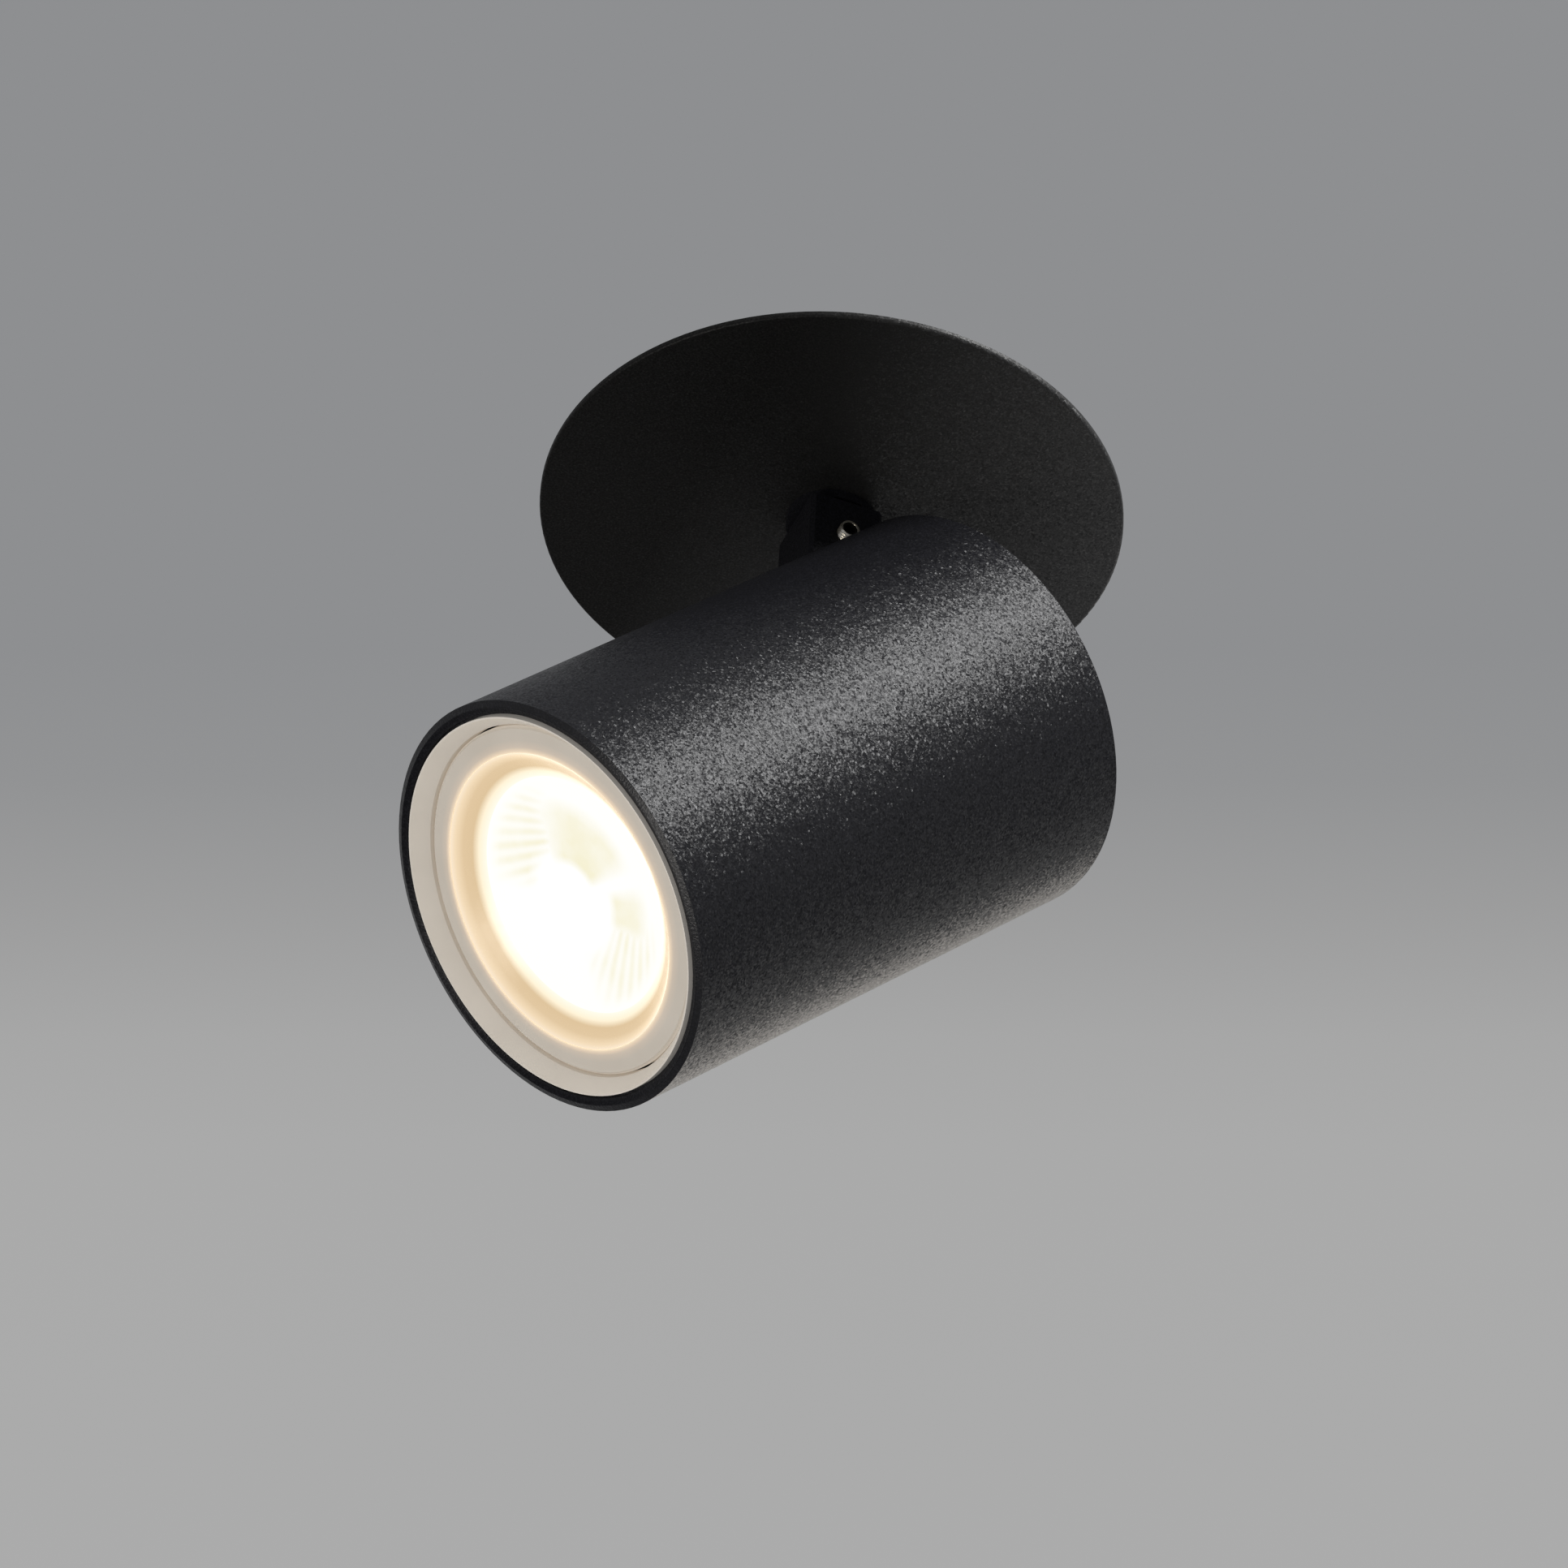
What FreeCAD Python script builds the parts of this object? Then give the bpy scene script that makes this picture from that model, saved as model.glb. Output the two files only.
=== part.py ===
"""Recessed spotlight: a round ceiling plate, a swivel arm and a tilting tube head with a twist-in lamp.

Frame: +Z up, the origin at the centre of the plate's back face, where it meets the ceiling.
The head points towards -X and down. Sizes are in millimetres and angles in degrees.
"""
import FreeCAD, Part
import math
import os

V = FreeCAD.Vector
X = V(1, 0, 0)
Y = V(0, 1, 0)
Z = V(0, 0, 1)
ZERO = V(0, 0, 0)

# Ceiling plate
plate_diameter = 85.5
plate_thickness = 0.9
plate_edge_round = 0.4
collar_diameter = 67.0
collar_wall = 1.5
collar_height = 4.0
boss_diameter = 7.0
boss_height = 4.0

# Swivel nipple and what clamps it to the plate
flange_diameter = 13.2
flange_thickness = 1.5
stud_diameter = 8.0
stud_proud = 1.0
spigot_diameter = 7.0
spigot_length = 12.5
lead_bore = 4.2
groove_depth = 0.75
stop_rib_angle = 10.0
lock_nut_flats = 13.0
lock_nut_height = 3.5
toothed_washer_diameter = 15.0
toothed_washer_thickness = 0.8
toothed_washer_teeth = 12

# Knuckle arm and its grub screw
arm_thickness = 11.1
arm_width = 13.5
arm_edge_bevel = 0.6
arm_length = 23.06
grub_drop = 8.5
grub_diameter = 3.0
grub_proud = 1.5
grub_tip_diameter = 1.6
grub_socket_flats = 1.5
grub_socket_depth = 1.4
grub_bevel = 0.3

# Tilt pivot
rest_tilt = 43.7
pivot_shoulder_diameter = 5.0
pivot_thread_diameter = 4.0
pivot_thread_length = 4.0
pivot_head_diameter = 7.0
pivot_head_height = 2.0
pivot_socket_flats = 2.5
pivot_socket_depth = 1.4
friction_washer_diameter = 10.0
friction_washer_thickness = 0.5
disc_spring_diameter = 9.0
disc_spring_thickness = 0.6
cheek_thickness = 1.5
cheek_nose_radius = 5.0
cheek_drop = 14.0
cheek_rise = 3.0
foot_width = 7.25
foot_margin = 4.3
foot_rise = -5.0

# Lamp, of the standard 51 mm face with two twist-lock pins
lamp_diameter = 51.0
lamp_length = 47.0
lamp_recess = 2.3
lamp_rim_width = 3.8
lamp_rim_depth = 3.0
lamp_rim_bevel = 0.4
lamp_rim_drop = 0.3
lamp_straight = 9.0
lamp_waist_share = 0.6
lamp_wall = 1.3
lamp_base_diameter = 27.0
lamp_base_length = 11.0
lamp_base_floor = 3.0
lens_bevel_width = 1.6
lens_bevel_depth = 1.4
lens_edge_width = 2.7
lens_edge_depth = 3.0
lens_crown = 0.6
lens_back = 3.8
reflector_depth = 19.5
reflector_throat = 12.4
reflector_wall = 1.0
reflector_belly_share = 0.62
led_board_thickness = 1.4
emitter_diameter = 9.0
emitter_thickness = 0.9
driver_board_width = 18.0
driver_board_length = 18.0
driver_board_thickness = 1.6
pin_spacing = 10.0
pin_length = 7.0
pin_diameter = 3.0
pin_head_diameter = 4.9
pin_head_height = 2.5
lamp_twist = 22.0

# Lamp holder and the bulkhead that carries it
holder_width = 33.0
holder_height = 20.0
holder_depth = 14.3
holder_lip = 4.1
holder_cavity_depth = 3.6
contact_thickness = 0.6
contact_width = 3.6
holder_screw_spacing = 23.0
holder_screw_pocket = 3.0
small_screw_diameter = 3.0
small_head_diameter = 5.5
small_head_height = 2.0
small_nut_flats = 5.5
small_nut_height = 2.4
small_socket_flats = 2.0
screw_tail = 0.6
bulkhead_thickness = 1.5
ledge_width = 1.75
ledge_length = 2.0

# Housing tube, its front ring and its rear cap
tube_wall = 2.25
tube_rim_bevel = 0.25
rim_crest_inset = 0.95
rim_fall = 0.4
mouth_gap = 0.4
mouth_depth = 1.2
trim_width = 1.85
trim_length = 4.6
trim_recess = 0.1
trim_lip = 0.25
trim_slope = 2.4
rear_room = 11.55
pivot_depth = 8.05
lead_room = 1.47
cap_thickness = 2.0
cap_seat_width = 1.0
spacer_diameter = 6.0
spacer_spacing = 34.0
spacer_drop = 10.0
spacer_rivet_diameter = 4.0
cap_screw_length = 8.0

# Ceiling clips, on a line turned about the swivel axis from the head's own line
clip_turn = -20.0
strap_width = 16.0
strap_thickness = 1.5
leg_reach = 26.0
leg_height = 17.5
ear_reach = 5.0
ear_foot = 8.0
clip_pin_reach = 2.7
clip_pin_height = 13.0
clip_pin_diameter = 2.2
clip_pin_head_diameter = 3.6
clip_pin_head_height = 0.8
clip_length = 14.0
clip_thickness = 1.0
clip_droop = 40.0
clip_ear_radius = 2.0
clip_heel_angle = 30.0
clip_blade_start = 4.0
sleeve_length = 5.0
sleeve_wall = 0.8
spring_wire_diameter = 0.8
spring_mean_diameter = 3.5
spring_pitch = 1.5
spring_turns = 5
spring_tail = 6.0
spring_press_angle = 8.0

# Terminal block under its cover
block_length = 26.0
block_depth = 13.5
block_height = 14.0
block_offset = 19.05
pole_pitch = 8.0
pole_height = 8.0
pole_bore = 2.8
insert_diameter = 4.8
insert_length = 11.0
terminal_screw_diameter = 2.6
terminal_screw_length = 3.0
terminal_screw_spacing = 6.4
terminal_slot_width = 0.52
terminal_slot_depth = 0.9
cover_wall = 1.2
cover_side_room = 0.8
cover_height = 25.0
cover_notch_width = 22.0
cover_notch_height = 15.0
inlet_diameter = 9.0
inlet_offset = 7.0
grommet_bore = 6.4
grommet_flange = 1.6
grommet_flange_thickness = 1.2

# Earth point and leads
earth_room = 0.5
earth_screw_diameter = 4.0
earth_head_diameter = 7.0
earth_head_height = 2.5
earth_slot_width = 1.0
earth_slot_depth = 1.25
earth_bite = 0.5
tag_diameter = 8.0
tag_thickness = 0.8
tag_barrel_diameter = 2.6
tag_barrel_length = 3.0
lead_diameter = 1.8
lead_spacing = 2.0
lead_entry = 3.0
lead_bend_share = 0.45

# Clearances
flat_gap = 0.1
running_gap = 0.05
seat_gap = 0.2
slot_gap = 0.4
loose_gap = 0.3

# Heights on the swivel axis
plate_front = -plate_thickness
flange_front = plate_front - flange_thickness
arm_top = flange_front - flat_gap
spigot_end = flange_front - spigot_length
pivot_z = plate_front - arm_length
grub_z = plate_front - grub_drop
washer_top = strap_thickness + toothed_washer_thickness
stud_top = washer_top + lock_nut_height + stud_proud
groove_floor = spigot_diameter / 2 - groove_depth
arm_half = arm_thickness / 2
arm_side = arm_width / 2

# Stations along the head from the pivot, forwards positive, and heights from the pivot
lamp_radius = lamp_diameter / 2
bore_radius = lamp_radius + loose_gap + trim_width + flat_gap
tube_radius = bore_radius + tube_wall
mouth_radius = bore_radius + mouth_gap
axis_z = pivot_depth - bore_radius
bulkhead_rear = arm_half + lead_room
bulkhead_front = bulkhead_rear + bulkhead_thickness
holder_front = bulkhead_front + holder_depth
lamp_rear = holder_front + seat_gap
lamp_front = lamp_rear + lamp_length
tube_front = lamp_front + lamp_recess
base_rear = lamp_rear + lamp_base_length
base_radius = lamp_base_diameter / 2
shoulder_x = lamp_front - lamp_straight
waist_x = (shoulder_x + base_rear) / 2
waist_radius = base_radius + (lamp_radius - base_radius) * lamp_waist_share
tube_rear = -rear_room
cap_front = tube_rear + cap_thickness
foot_rear = bulkhead_rear - cheek_thickness
slot_half = arm_side + slot_gap
grub_way = arm_side + grub_proud + slot_gap
grub_sweep = grub_z - grub_diameter / 2 - slot_gap - pivot_z
cheek_inner = arm_side + 2 * running_gap + friction_washer_thickness
cheek_outer = cheek_inner + cheek_thickness
pivot_head_inner = cheek_outer + 2 * running_gap + disc_spring_thickness
ledge_radius = bore_radius - ledge_width
pin_tip = lamp_rear - pin_length
cavity_rear = holder_front - holder_lip - holder_cavity_depth
lead_exit = arm_half + seat_gap
lead_drop_x = bulkhead_rear - lead_diameter
lead_entry_z = axis_z - holder_height / 2 + lead_diameter

# Ceiling side stations
clip_pin_x = leg_reach + clip_pin_reach
earth_offset = leg_reach - strap_thickness - earth_room - tag_diameter / 2
ear_inner = strap_width / 2 - strap_thickness
clip_side = ear_inner - loose_gap
clip_heel = (clip_pin_reach - flat_gap) / math.cos(math.radians(clip_heel_angle))
block_base = boss_height
block_top = block_base + block_height
pole_z = block_base + pole_height
block_inner = block_offset - block_depth / 2
block_outer = block_offset + block_depth / 2
cover_inner = block_inner - cover_side_room - cover_wall
cover_outer = block_outer + cover_side_room + cover_wall
cover_end = block_length / 2 + cover_side_room + cover_wall
boss_x = pole_pitch / 2
tag_barrel_z = strap_thickness + tag_barrel_diameter / 2


def post(radius, low, high, x=0.0, y=0.0):
    """Upright cylinder."""
    return Part.makeCylinder(radius, high - low, V(x, y, low))


def rod(radius, rear, front, y=0.0, z=0.0):
    """Cylinder along X."""
    return Part.makeCylinder(radius, front - rear, V(rear, y, z), X)


def bar(radius, near, far, x=0.0, z=0.0):
    """Cylinder along Y."""
    return Part.makeCylinder(radius, far - near, V(x, near, z), Y)


def block(x0, x1, y0, y1, z0, z1):
    """Box between two corners."""
    return Part.makeBox(x1 - x0, y1 - y0, z1 - z0, V(x0, y0, z0))


def lathe(outline, axis=Z, across=X, centre=ZERO):
    """Solid turned from pairs of radius and distance along the axis."""
    corners = [centre + across * r + axis * d for r, d in outline]
    return Part.Face(Part.makePolygon(corners + corners[:1])).revolve(centre, axis, 360)


def head_lathe(outline):
    """Solid turned about the tube's axis from pairs of radius and station."""
    return lathe(outline, X, Z, V(0, 0, axis_z))


def hexagon(flats, start, direction, length):
    """Six-sided prism that starts at a point and runs along a direction."""
    side = direction.cross(Z if abs(direction.z) < 0.5 else X).normalize()
    other = direction.cross(side)
    reach = flats / math.sqrt(3)
    corners = []
    for k in range(6):
        turn = math.radians(60 * k)
        corners.append(start + (side * math.cos(turn) + other * math.sin(turn)) * reach)
    return Part.Face(Part.makePolygon(corners + corners[:1])).extrude(direction * length)


def prism(corners, direction):
    """Flat polygon drawn out along a vector."""
    return Part.Face(Part.makePolygon(corners + corners[:1])).extrude(direction)


def rounded_path(points):
    """Straight runs between points, with the largest tangent arcs that the runs allow at the corners."""
    edges = []
    start = points[0]
    for before, corner, after in zip(points, points[1:], points[2:]):
        back = before - corner
        ahead = after - corner
        trim = lead_bend_share * min(back.Length, ahead.Length)
        back.normalize()
        ahead.normalize()
        half = back.getAngle(ahead) / 2
        first = corner + back * trim
        last = corner + ahead * trim
        inward = (back + ahead).normalize()
        radius = trim * math.tan(half)
        middle = corner + inward * (trim / math.cos(half) - radius)
        edges.append(Part.LineSegment(start, first).toShape())
        edges.append(Part.Arc(first, middle, last).toShape())
        start = last
    edges.append(Part.LineSegment(start, points[-1]).toShape())
    return Part.Wire(edges)


def tube_along(path, radius, start, direction):
    """Round solid of one thickness along a path."""
    section = Part.Wire([Part.Circle(start, direction, radius).toShape()])
    return path.makePipeShell([section], True, False)


def lead(points):
    """Insulated lead through a list of points."""
    return tube_along(rounded_path(points), lead_diameter / 2, points[0], points[1] - points[0])


def mirrored_x(shape):
    """The same piece on the other side of the swivel axis."""
    return shape.mirror(ZERO, X)


def in_head(shape):
    """Move a piece drawn about the pivot, with the tube along X, to where the head hangs at rest."""
    half_turn = FreeCAD.Rotation(Z, 180)
    tilt = FreeCAD.Rotation(Y, -rest_tilt)
    placed = shape.copy()
    turned = FreeCAD.Placement(V(0, 0, pivot_z), tilt.multiply(half_turn))
    placed.Placement = turned.multiply(shape.Placement)
    return placed


def in_ceiling(shape):
    """Turn a piece drawn with the clips along X to where the clips lie at rest."""
    placed = shape.copy()
    placed.rotate(ZERO, Z, clip_turn)
    return placed


def pair(make):
    """Two pieces made for the sides -1 and +1."""
    return [make(-1), make(1)]


def save(name, shape, place=None):
    """Write one node, moved from where it was drawn to where it lies at rest."""
    solids = shape if isinstance(shape, list) else [shape]
    placed = [place(s) if place else s for s in solids]
    whole = placed[0] if len(placed) == 1 else Part.makeCompound(placed)
    whole.exportStep("parts/" + name + ".step")


# Ceiling side


def ceiling_plate():
    """Disc with a rounded front edge, a locating collar and a screw boss on its back."""
    edge = plate_diameter / 2
    disc = post(edge, plate_front, 0)
    front = [e for e in disc.Edges if e.BoundBox.ZMax < plate_front / 2]
    disc = disc.makeFillet(plate_edge_round, front)
    outer = collar_diameter / 2
    collar = post(outer, 0, collar_height).cut([post(outer - collar_wall, 0, collar_height), cover_way()])
    boss = post(boss_diameter / 2, 0, boss_height, boss_x, block_offset)
    plate = disc.fuse([collar, boss]).removeSplitter()
    centre = post(stud_diameter / 2 + running_gap, plate_front, strap_thickness)
    thread = post(small_screw_diameter / 2 + running_gap, 0, boss_height, boss_x, block_offset)
    bite = -earth_bite - flat_gap
    earth = post(earth_screw_diameter / 2 + running_gap, bite, strap_thickness, earth_offset)
    return plate.cut([centre, thread, earth])


def cover_way():
    """Room for the terminal cover where it would meet the collar."""
    half = cover_end + loose_gap
    return block(-half, half, cover_inner - loose_gap, cover_outer + loose_gap, 0, collar_height)


def clip_bracket():
    """Strap on the plate's back with two legs, each with a pair of ears for a clip's pin."""
    half = strap_width / 2
    shape = block(-leg_reach, leg_reach, -half, half, 0, strap_thickness)
    for side in (-1, 1):
        inner = leg_reach - strap_thickness
        outer = leg_reach + ear_reach
        parts = [block(inner, leg_reach, -half, half, 0, leg_height)]
        for ear in (-half, ear_inner):
            parts.append(block(inner, outer, ear, ear + strap_thickness, ear_foot, leg_height))
        leg = parts[0].fuse(parts[1:])
        leg = leg.cut(bar(clip_pin_diameter / 2 + running_gap, -half, half, clip_pin_x, clip_pin_height))
        shape = shape.fuse(leg if side > 0 else mirrored_x(leg))
    shape = shape.removeSplitter()
    centre = post(stud_diameter / 2 + running_gap, 0, strap_thickness)
    earth = post(earth_screw_diameter / 2 + running_gap, 0, strap_thickness, earth_offset)
    return shape.cut([centre, earth])


def swivel_nipple():
    """Hollow stud with a flange under the plate and a spigot whose groove stops short of a full turn."""
    bore = lead_bore / 2
    spigot = spigot_diameter / 2
    nipple = lathe([
        (bore, spigot_end), (spigot, spigot_end), (spigot, flange_front),
        (flange_diameter / 2, flange_front), (flange_diameter / 2, plate_front),
        (stud_diameter / 2, plate_front), (stud_diameter / 2, stud_top), (bore, stud_top),
    ])
    half_groove = grub_tip_diameter / 2 + seat_gap
    groove = lathe([
        (groove_floor, grub_z - half_groove), (spigot + flat_gap, grub_z - half_groove),
        (spigot + flat_gap, grub_z + half_groove), (groove_floor, grub_z + half_groove),
    ])
    lean = math.tan(math.radians(stop_rib_angle / 2)) * spigot_diameter
    rib = prism([
        V(0, 0, spigot_end), V(lean, spigot_diameter, spigot_end), V(-lean, spigot_diameter, spigot_end),
    ], Z * spigot_length)
    return nipple.cut(groove.cut(rib))


def toothed_washer():
    """Shakeproof washer with teeth round its edge."""
    reach = toothed_washer_diameter / 2
    ring = post(reach, strap_thickness, washer_top)
    notch_radius = math.pi * reach / toothed_washer_teeth / 2
    cuts = [post(stud_diameter / 2 + running_gap, strap_thickness, washer_top)]
    for k in range(toothed_washer_teeth):
        turn = 2 * math.pi * k / toothed_washer_teeth
        x = reach * math.cos(turn)
        y = reach * math.sin(turn)
        cuts.append(post(notch_radius, strap_thickness, washer_top, x, y))
    return ring.cut(cuts)


def lock_nut():
    """Nut that clamps the plate and the strap against the nipple's flange."""
    nut = hexagon(lock_nut_flats, V(0, 0, washer_top), Z, lock_nut_height)
    return nut.cut(post(stud_diameter / 2 + running_gap, washer_top, stud_top))


def earth_tag():
    """Ring tag on the strap with a crimp barrel towards the swivel axis."""
    top = strap_thickness + tag_thickness
    ring = post(tag_diameter / 2, strap_thickness, top, earth_offset)
    barrel_end = earth_offset - tag_diameter / 2
    half = tag_barrel_diameter / 2
    barrel = rod(half, barrel_end - tag_barrel_length, barrel_end, 0, tag_barrel_z)
    neck = block(barrel_end - tag_barrel_length, earth_offset, -half, half, strap_thickness, top)
    tag = ring.fuse([barrel, neck]).removeSplitter()
    hole = post(earth_screw_diameter / 2 + running_gap, strap_thickness, top, earth_offset)
    socket = rod(lead_diameter / 2 + running_gap, barrel_end - tag_barrel_length, barrel_end - flat_gap, 0,
                 tag_barrel_z)
    head = post(earth_head_diameter / 2 + flat_gap, top, top + earth_head_height, earth_offset)
    return tag.cut([hole, socket, head])


def earth_screw():
    """Slotted earth screw through the tag into the strap and the plate."""
    top = strap_thickness + tag_thickness
    head = post(earth_head_diameter / 2, top, top + earth_head_height, earth_offset)
    shank = post(earth_screw_diameter / 2, -earth_bite, top, earth_offset)
    half_slot = earth_slot_width / 2
    high = top + earth_head_height
    slot = block(earth_offset - earth_head_diameter, earth_offset + earth_head_diameter,
                 -half_slot, half_slot, high - earth_slot_depth, high)
    return head.fuse(shank).removeSplitter().cut(slot)


def pole_places():
    """Where the terminal block's poles stand along its length."""
    return [-pole_pitch, 0.0, pole_pitch]


def terminal_block():
    """Three-pole moulded block with a wire way and two screw wells in each pole."""
    half = block_length / 2
    body = block(-half, half, block_inner, block_outer, block_base, block_top)
    cuts = [post(small_screw_diameter / 2 + running_gap, block_base, block_top, boss_x, block_offset)]
    for x in pole_places():
        cuts.append(bar(insert_diameter / 2 + running_gap, block_inner, block_outer, x, pole_z))
        for side in (-1, 1):
            y = block_offset + side * terminal_screw_spacing / 2
            cuts.append(post(terminal_screw_diameter / 2 + flat_gap, pole_z, block_top, x, y))
    return body.cut(cuts)


def terminal_inserts():
    """Brass tubes that the wires are clamped in."""
    inserts = []
    for x in pole_places():
        near = block_offset - insert_length / 2
        tube = bar(insert_diameter / 2, near, near + insert_length, x, pole_z)
        cuts = [bar(pole_bore / 2, near, near + insert_length, x, pole_z)]
        for side in (-1, 1):
            y = block_offset + side * terminal_screw_spacing / 2
            cuts.append(post(terminal_screw_diameter / 2 + running_gap, pole_z, block_top, x, y))
        inserts.append(tube.cut(cuts))
    return inserts


def terminal_screws():
    """Slotted clamping screws of the terminal block."""
    screws = []
    low = pole_z + lead_diameter / 2 + flat_gap
    for x in pole_places():
        for side in (-1, 1):
            y = block_offset + side * terminal_screw_spacing / 2
            screw = post(terminal_screw_diameter / 2, low, low + terminal_screw_length, x, y)
            half_slot = terminal_slot_width / 2
            high = low + terminal_screw_length
            slot = block(x - terminal_screw_diameter, x + terminal_screw_diameter,
                         y - half_slot, y + half_slot, high - terminal_slot_depth, high)
            screws.append(screw.cut(slot))
    return screws


def terminal_cover():
    """Moulded cover over the terminal block, notched for the leads and holed for the supply."""
    outside = block(-cover_end, cover_end, cover_inner, cover_outer, 0, cover_height)
    upright = [e for e in outside.Edges if abs(e.tangentAt(e.FirstParameter).z) > 0.5]
    outside = outside.makeFillet(cover_wall, upright)
    inside = block(-cover_end + cover_wall, cover_end - cover_wall, cover_inner + cover_wall,
                   cover_outer - cover_wall, 0, cover_height - cover_wall)
    half = cover_notch_width / 2
    notch = block(-half, half, cover_inner, cover_inner + cover_wall, 0, cover_notch_height)
    inlet = post(inlet_diameter / 2, 0, cover_height, -inlet_offset, block_offset)
    hole = post(small_screw_diameter / 2 + running_gap, 0, cover_height, boss_x, block_offset)
    return outside.cut([inside, notch, inlet, hole])


def cover_screw():
    """Long screw through the cover and the block into the plate's boss."""
    head = post(small_head_diameter / 2, cover_height, cover_height + small_head_height, boss_x, block_offset)
    shank = post(small_screw_diameter / 2, seat_gap, cover_height, boss_x, block_offset)
    socket = hexagon(small_socket_flats, V(boss_x, block_offset, cover_height + small_head_height / 2), Z,
                     small_head_height)
    return head.fuse(shank).removeSplitter().cut(socket)


def inlet_grommet():
    """Rubber grommet that lines the cover's supply inlet."""
    bore = grommet_bore / 2
    neck = inlet_diameter / 2 - running_gap
    wide = inlet_diameter / 2 + grommet_flange
    low = cover_height - cover_wall
    return lathe([
        (bore, low - grommet_flange_thickness), (wide, low - grommet_flange_thickness), (wide, low),
        (neck, low), (neck, cover_height), (wide, cover_height),
        (wide, cover_height + grommet_flange_thickness), (bore, cover_height + grommet_flange_thickness),
    ], centre=V(-inlet_offset, block_offset, 0))


def box_leads():
    """The two lamp leads from the top of the nipple to the terminal block."""
    half = lead_spacing / 2
    inside = block_inner + lead_entry
    top = stud_top + flat_gap
    straight = [V(0, half, top), V(0, half, pole_z), V(0, inside, pole_z)]
    aside = [
        V(0, -half, top), V(0, -half, pole_z), V(-pole_pitch, half, pole_z), V(-pole_pitch, inside, pole_z),
    ]
    return [lead(straight), lead(aside)]


def earth_lead():
    """Lead from the block's third pole down to the earth tag."""
    barrel_start = earth_offset - tag_diameter / 2 - tag_barrel_length
    return lead([
        V(pole_pitch, block_inner + lead_entry, pole_z),
        V(pole_pitch, block_inner - 2 * lead_entry, pole_z),
        V(barrel_start - lead_entry, 0, tag_barrel_z),
        V(barrel_start + tag_barrel_length / 2, 0, tag_barrel_z),
    ])


# Ceiling clips, drawn on the +X side about their pin with the blade level


def at_clip(shape):
    """Droop a clip piece to its rest and move it onto its pin."""
    shape.rotate(ZERO, Y, clip_droop)
    shape.translate(V(clip_pin_x, 0, clip_pin_height))
    return shape


def clip_blade():
    """Flat tongue of the clip, between its ears and its tip."""
    half = clip_thickness / 2
    return block(clip_blade_start, clip_length, -clip_side, clip_side, -half, half)


def clip_arm():
    """Sprung tongue with two ears round the pin, whose heels stop it against the leg."""
    stop = math.radians(180 + clip_heel_angle + clip_droop)
    parts = []
    for ear in (-clip_side, clip_side - clip_thickness):
        round_end = bar(clip_ear_radius, ear, ear + clip_thickness)
        heel = prism([
            V(-clip_ear_radius, ear, 0), V(clip_heel * math.cos(stop), ear, clip_heel * math.sin(stop)),
            V(clip_ear_radius, ear, 0),
        ], Y * clip_thickness)
        neck = prism([
            V(0, ear, clip_ear_radius), V(0, ear, -clip_ear_radius),
            V(clip_blade_start + clip_ear_radius, ear, -clip_thickness / 2),
            V(clip_blade_start + clip_ear_radius, ear, clip_thickness / 2),
        ], Y * clip_thickness)
        parts.append(round_end.fuse([heel, neck]))
    arm = clip_blade().fuse(parts).removeSplitter()
    return at_clip(arm.cut(bar(clip_pin_diameter / 2 + running_gap, -clip_side, clip_side)))


def clip_sleeve():
    """Rubber sleeve over the tip of the tongue."""
    half = clip_thickness / 2 + sleeve_wall
    sleeve = block(clip_length - sleeve_length, clip_length + sleeve_wall, -clip_side - sleeve_wall,
                   clip_side + sleeve_wall, -half, half)
    across = [e for e in sleeve.Edges if abs(e.tangentAt(e.FirstParameter).y) > 0.5]
    return at_clip(sleeve.makeFillet(sleeve_wall / 2, across).cut(clip_blade()))


def clip_pins():
    """Headed pins across the ears of the strap."""
    half = strap_width / 2
    pin = bar(clip_pin_diameter / 2, -half, half, clip_pin_x, clip_pin_height)
    heads = []
    for near in (-half - clip_pin_head_height, half):
        far = near + clip_pin_head_height
        heads.append(bar(clip_pin_head_diameter / 2, near, far, clip_pin_x, clip_pin_height))
    whole = pin.fuse(heads).removeSplitter()
    return [whole, mirrored_x(whole)]


def biarc(start, start_way, end, end_way):
    """Two tangent arcs from one point and heading to another."""
    span = end - start
    ways = start_way + end_way
    a = ways.Length ** 2 - 4
    b = -2 * span.dot(ways)
    c = span.Length ** 2
    reach = (-b - math.sqrt(b * b - 4 * a * c)) / (2 * a)
    first = start + start_way * reach
    last = end - end_way * reach
    joint = (first + last) * 0.5
    arcs = []
    for p, corner, q in ((start, first, joint), (joint, last, end)):
        half_chord = (q - p).Length / 2
        half_turn = math.acos(half_chord / reach)
        middle = (p + q) * 0.5
        rise = (corner - middle).normalize() * (half_chord * math.tan(half_turn / 2))
        arcs.append(Part.Arc(p, middle + rise, q).toShape())
    return arcs


def spring_path():
    """Torsion spring's wire from its tail on the leg, round the pin, to its tail on the tongue."""
    mean = spring_mean_diameter / 2
    sweep = math.radians(360 * spring_turns + 90 + clip_droop + spring_press_angle)
    quarters = 4 * spring_turns + 1
    step = sweep / quarters
    climb = spring_pitch / (2 * math.pi)

    def place(k):
        turn = math.pi - k * step
        return V(mean * math.cos(turn), k * step * climb - sweep * climb / 2, mean * math.sin(turn))

    def way(k):
        turn = math.pi - k * step
        return V(mean * math.sin(turn), climb, -mean * math.cos(turn)).normalize()

    edges = [Part.LineSegment(place(0) - way(0) * spring_tail, place(0)).toShape()]
    for k in range(quarters):
        edges += biarc(place(k), way(k), place(k + 1), way(k + 1))
    edges.append(Part.LineSegment(place(quarters), place(quarters) + way(quarters) * spring_tail).toShape())
    return edges, place(0) - way(0) * spring_tail, way(0)


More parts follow.
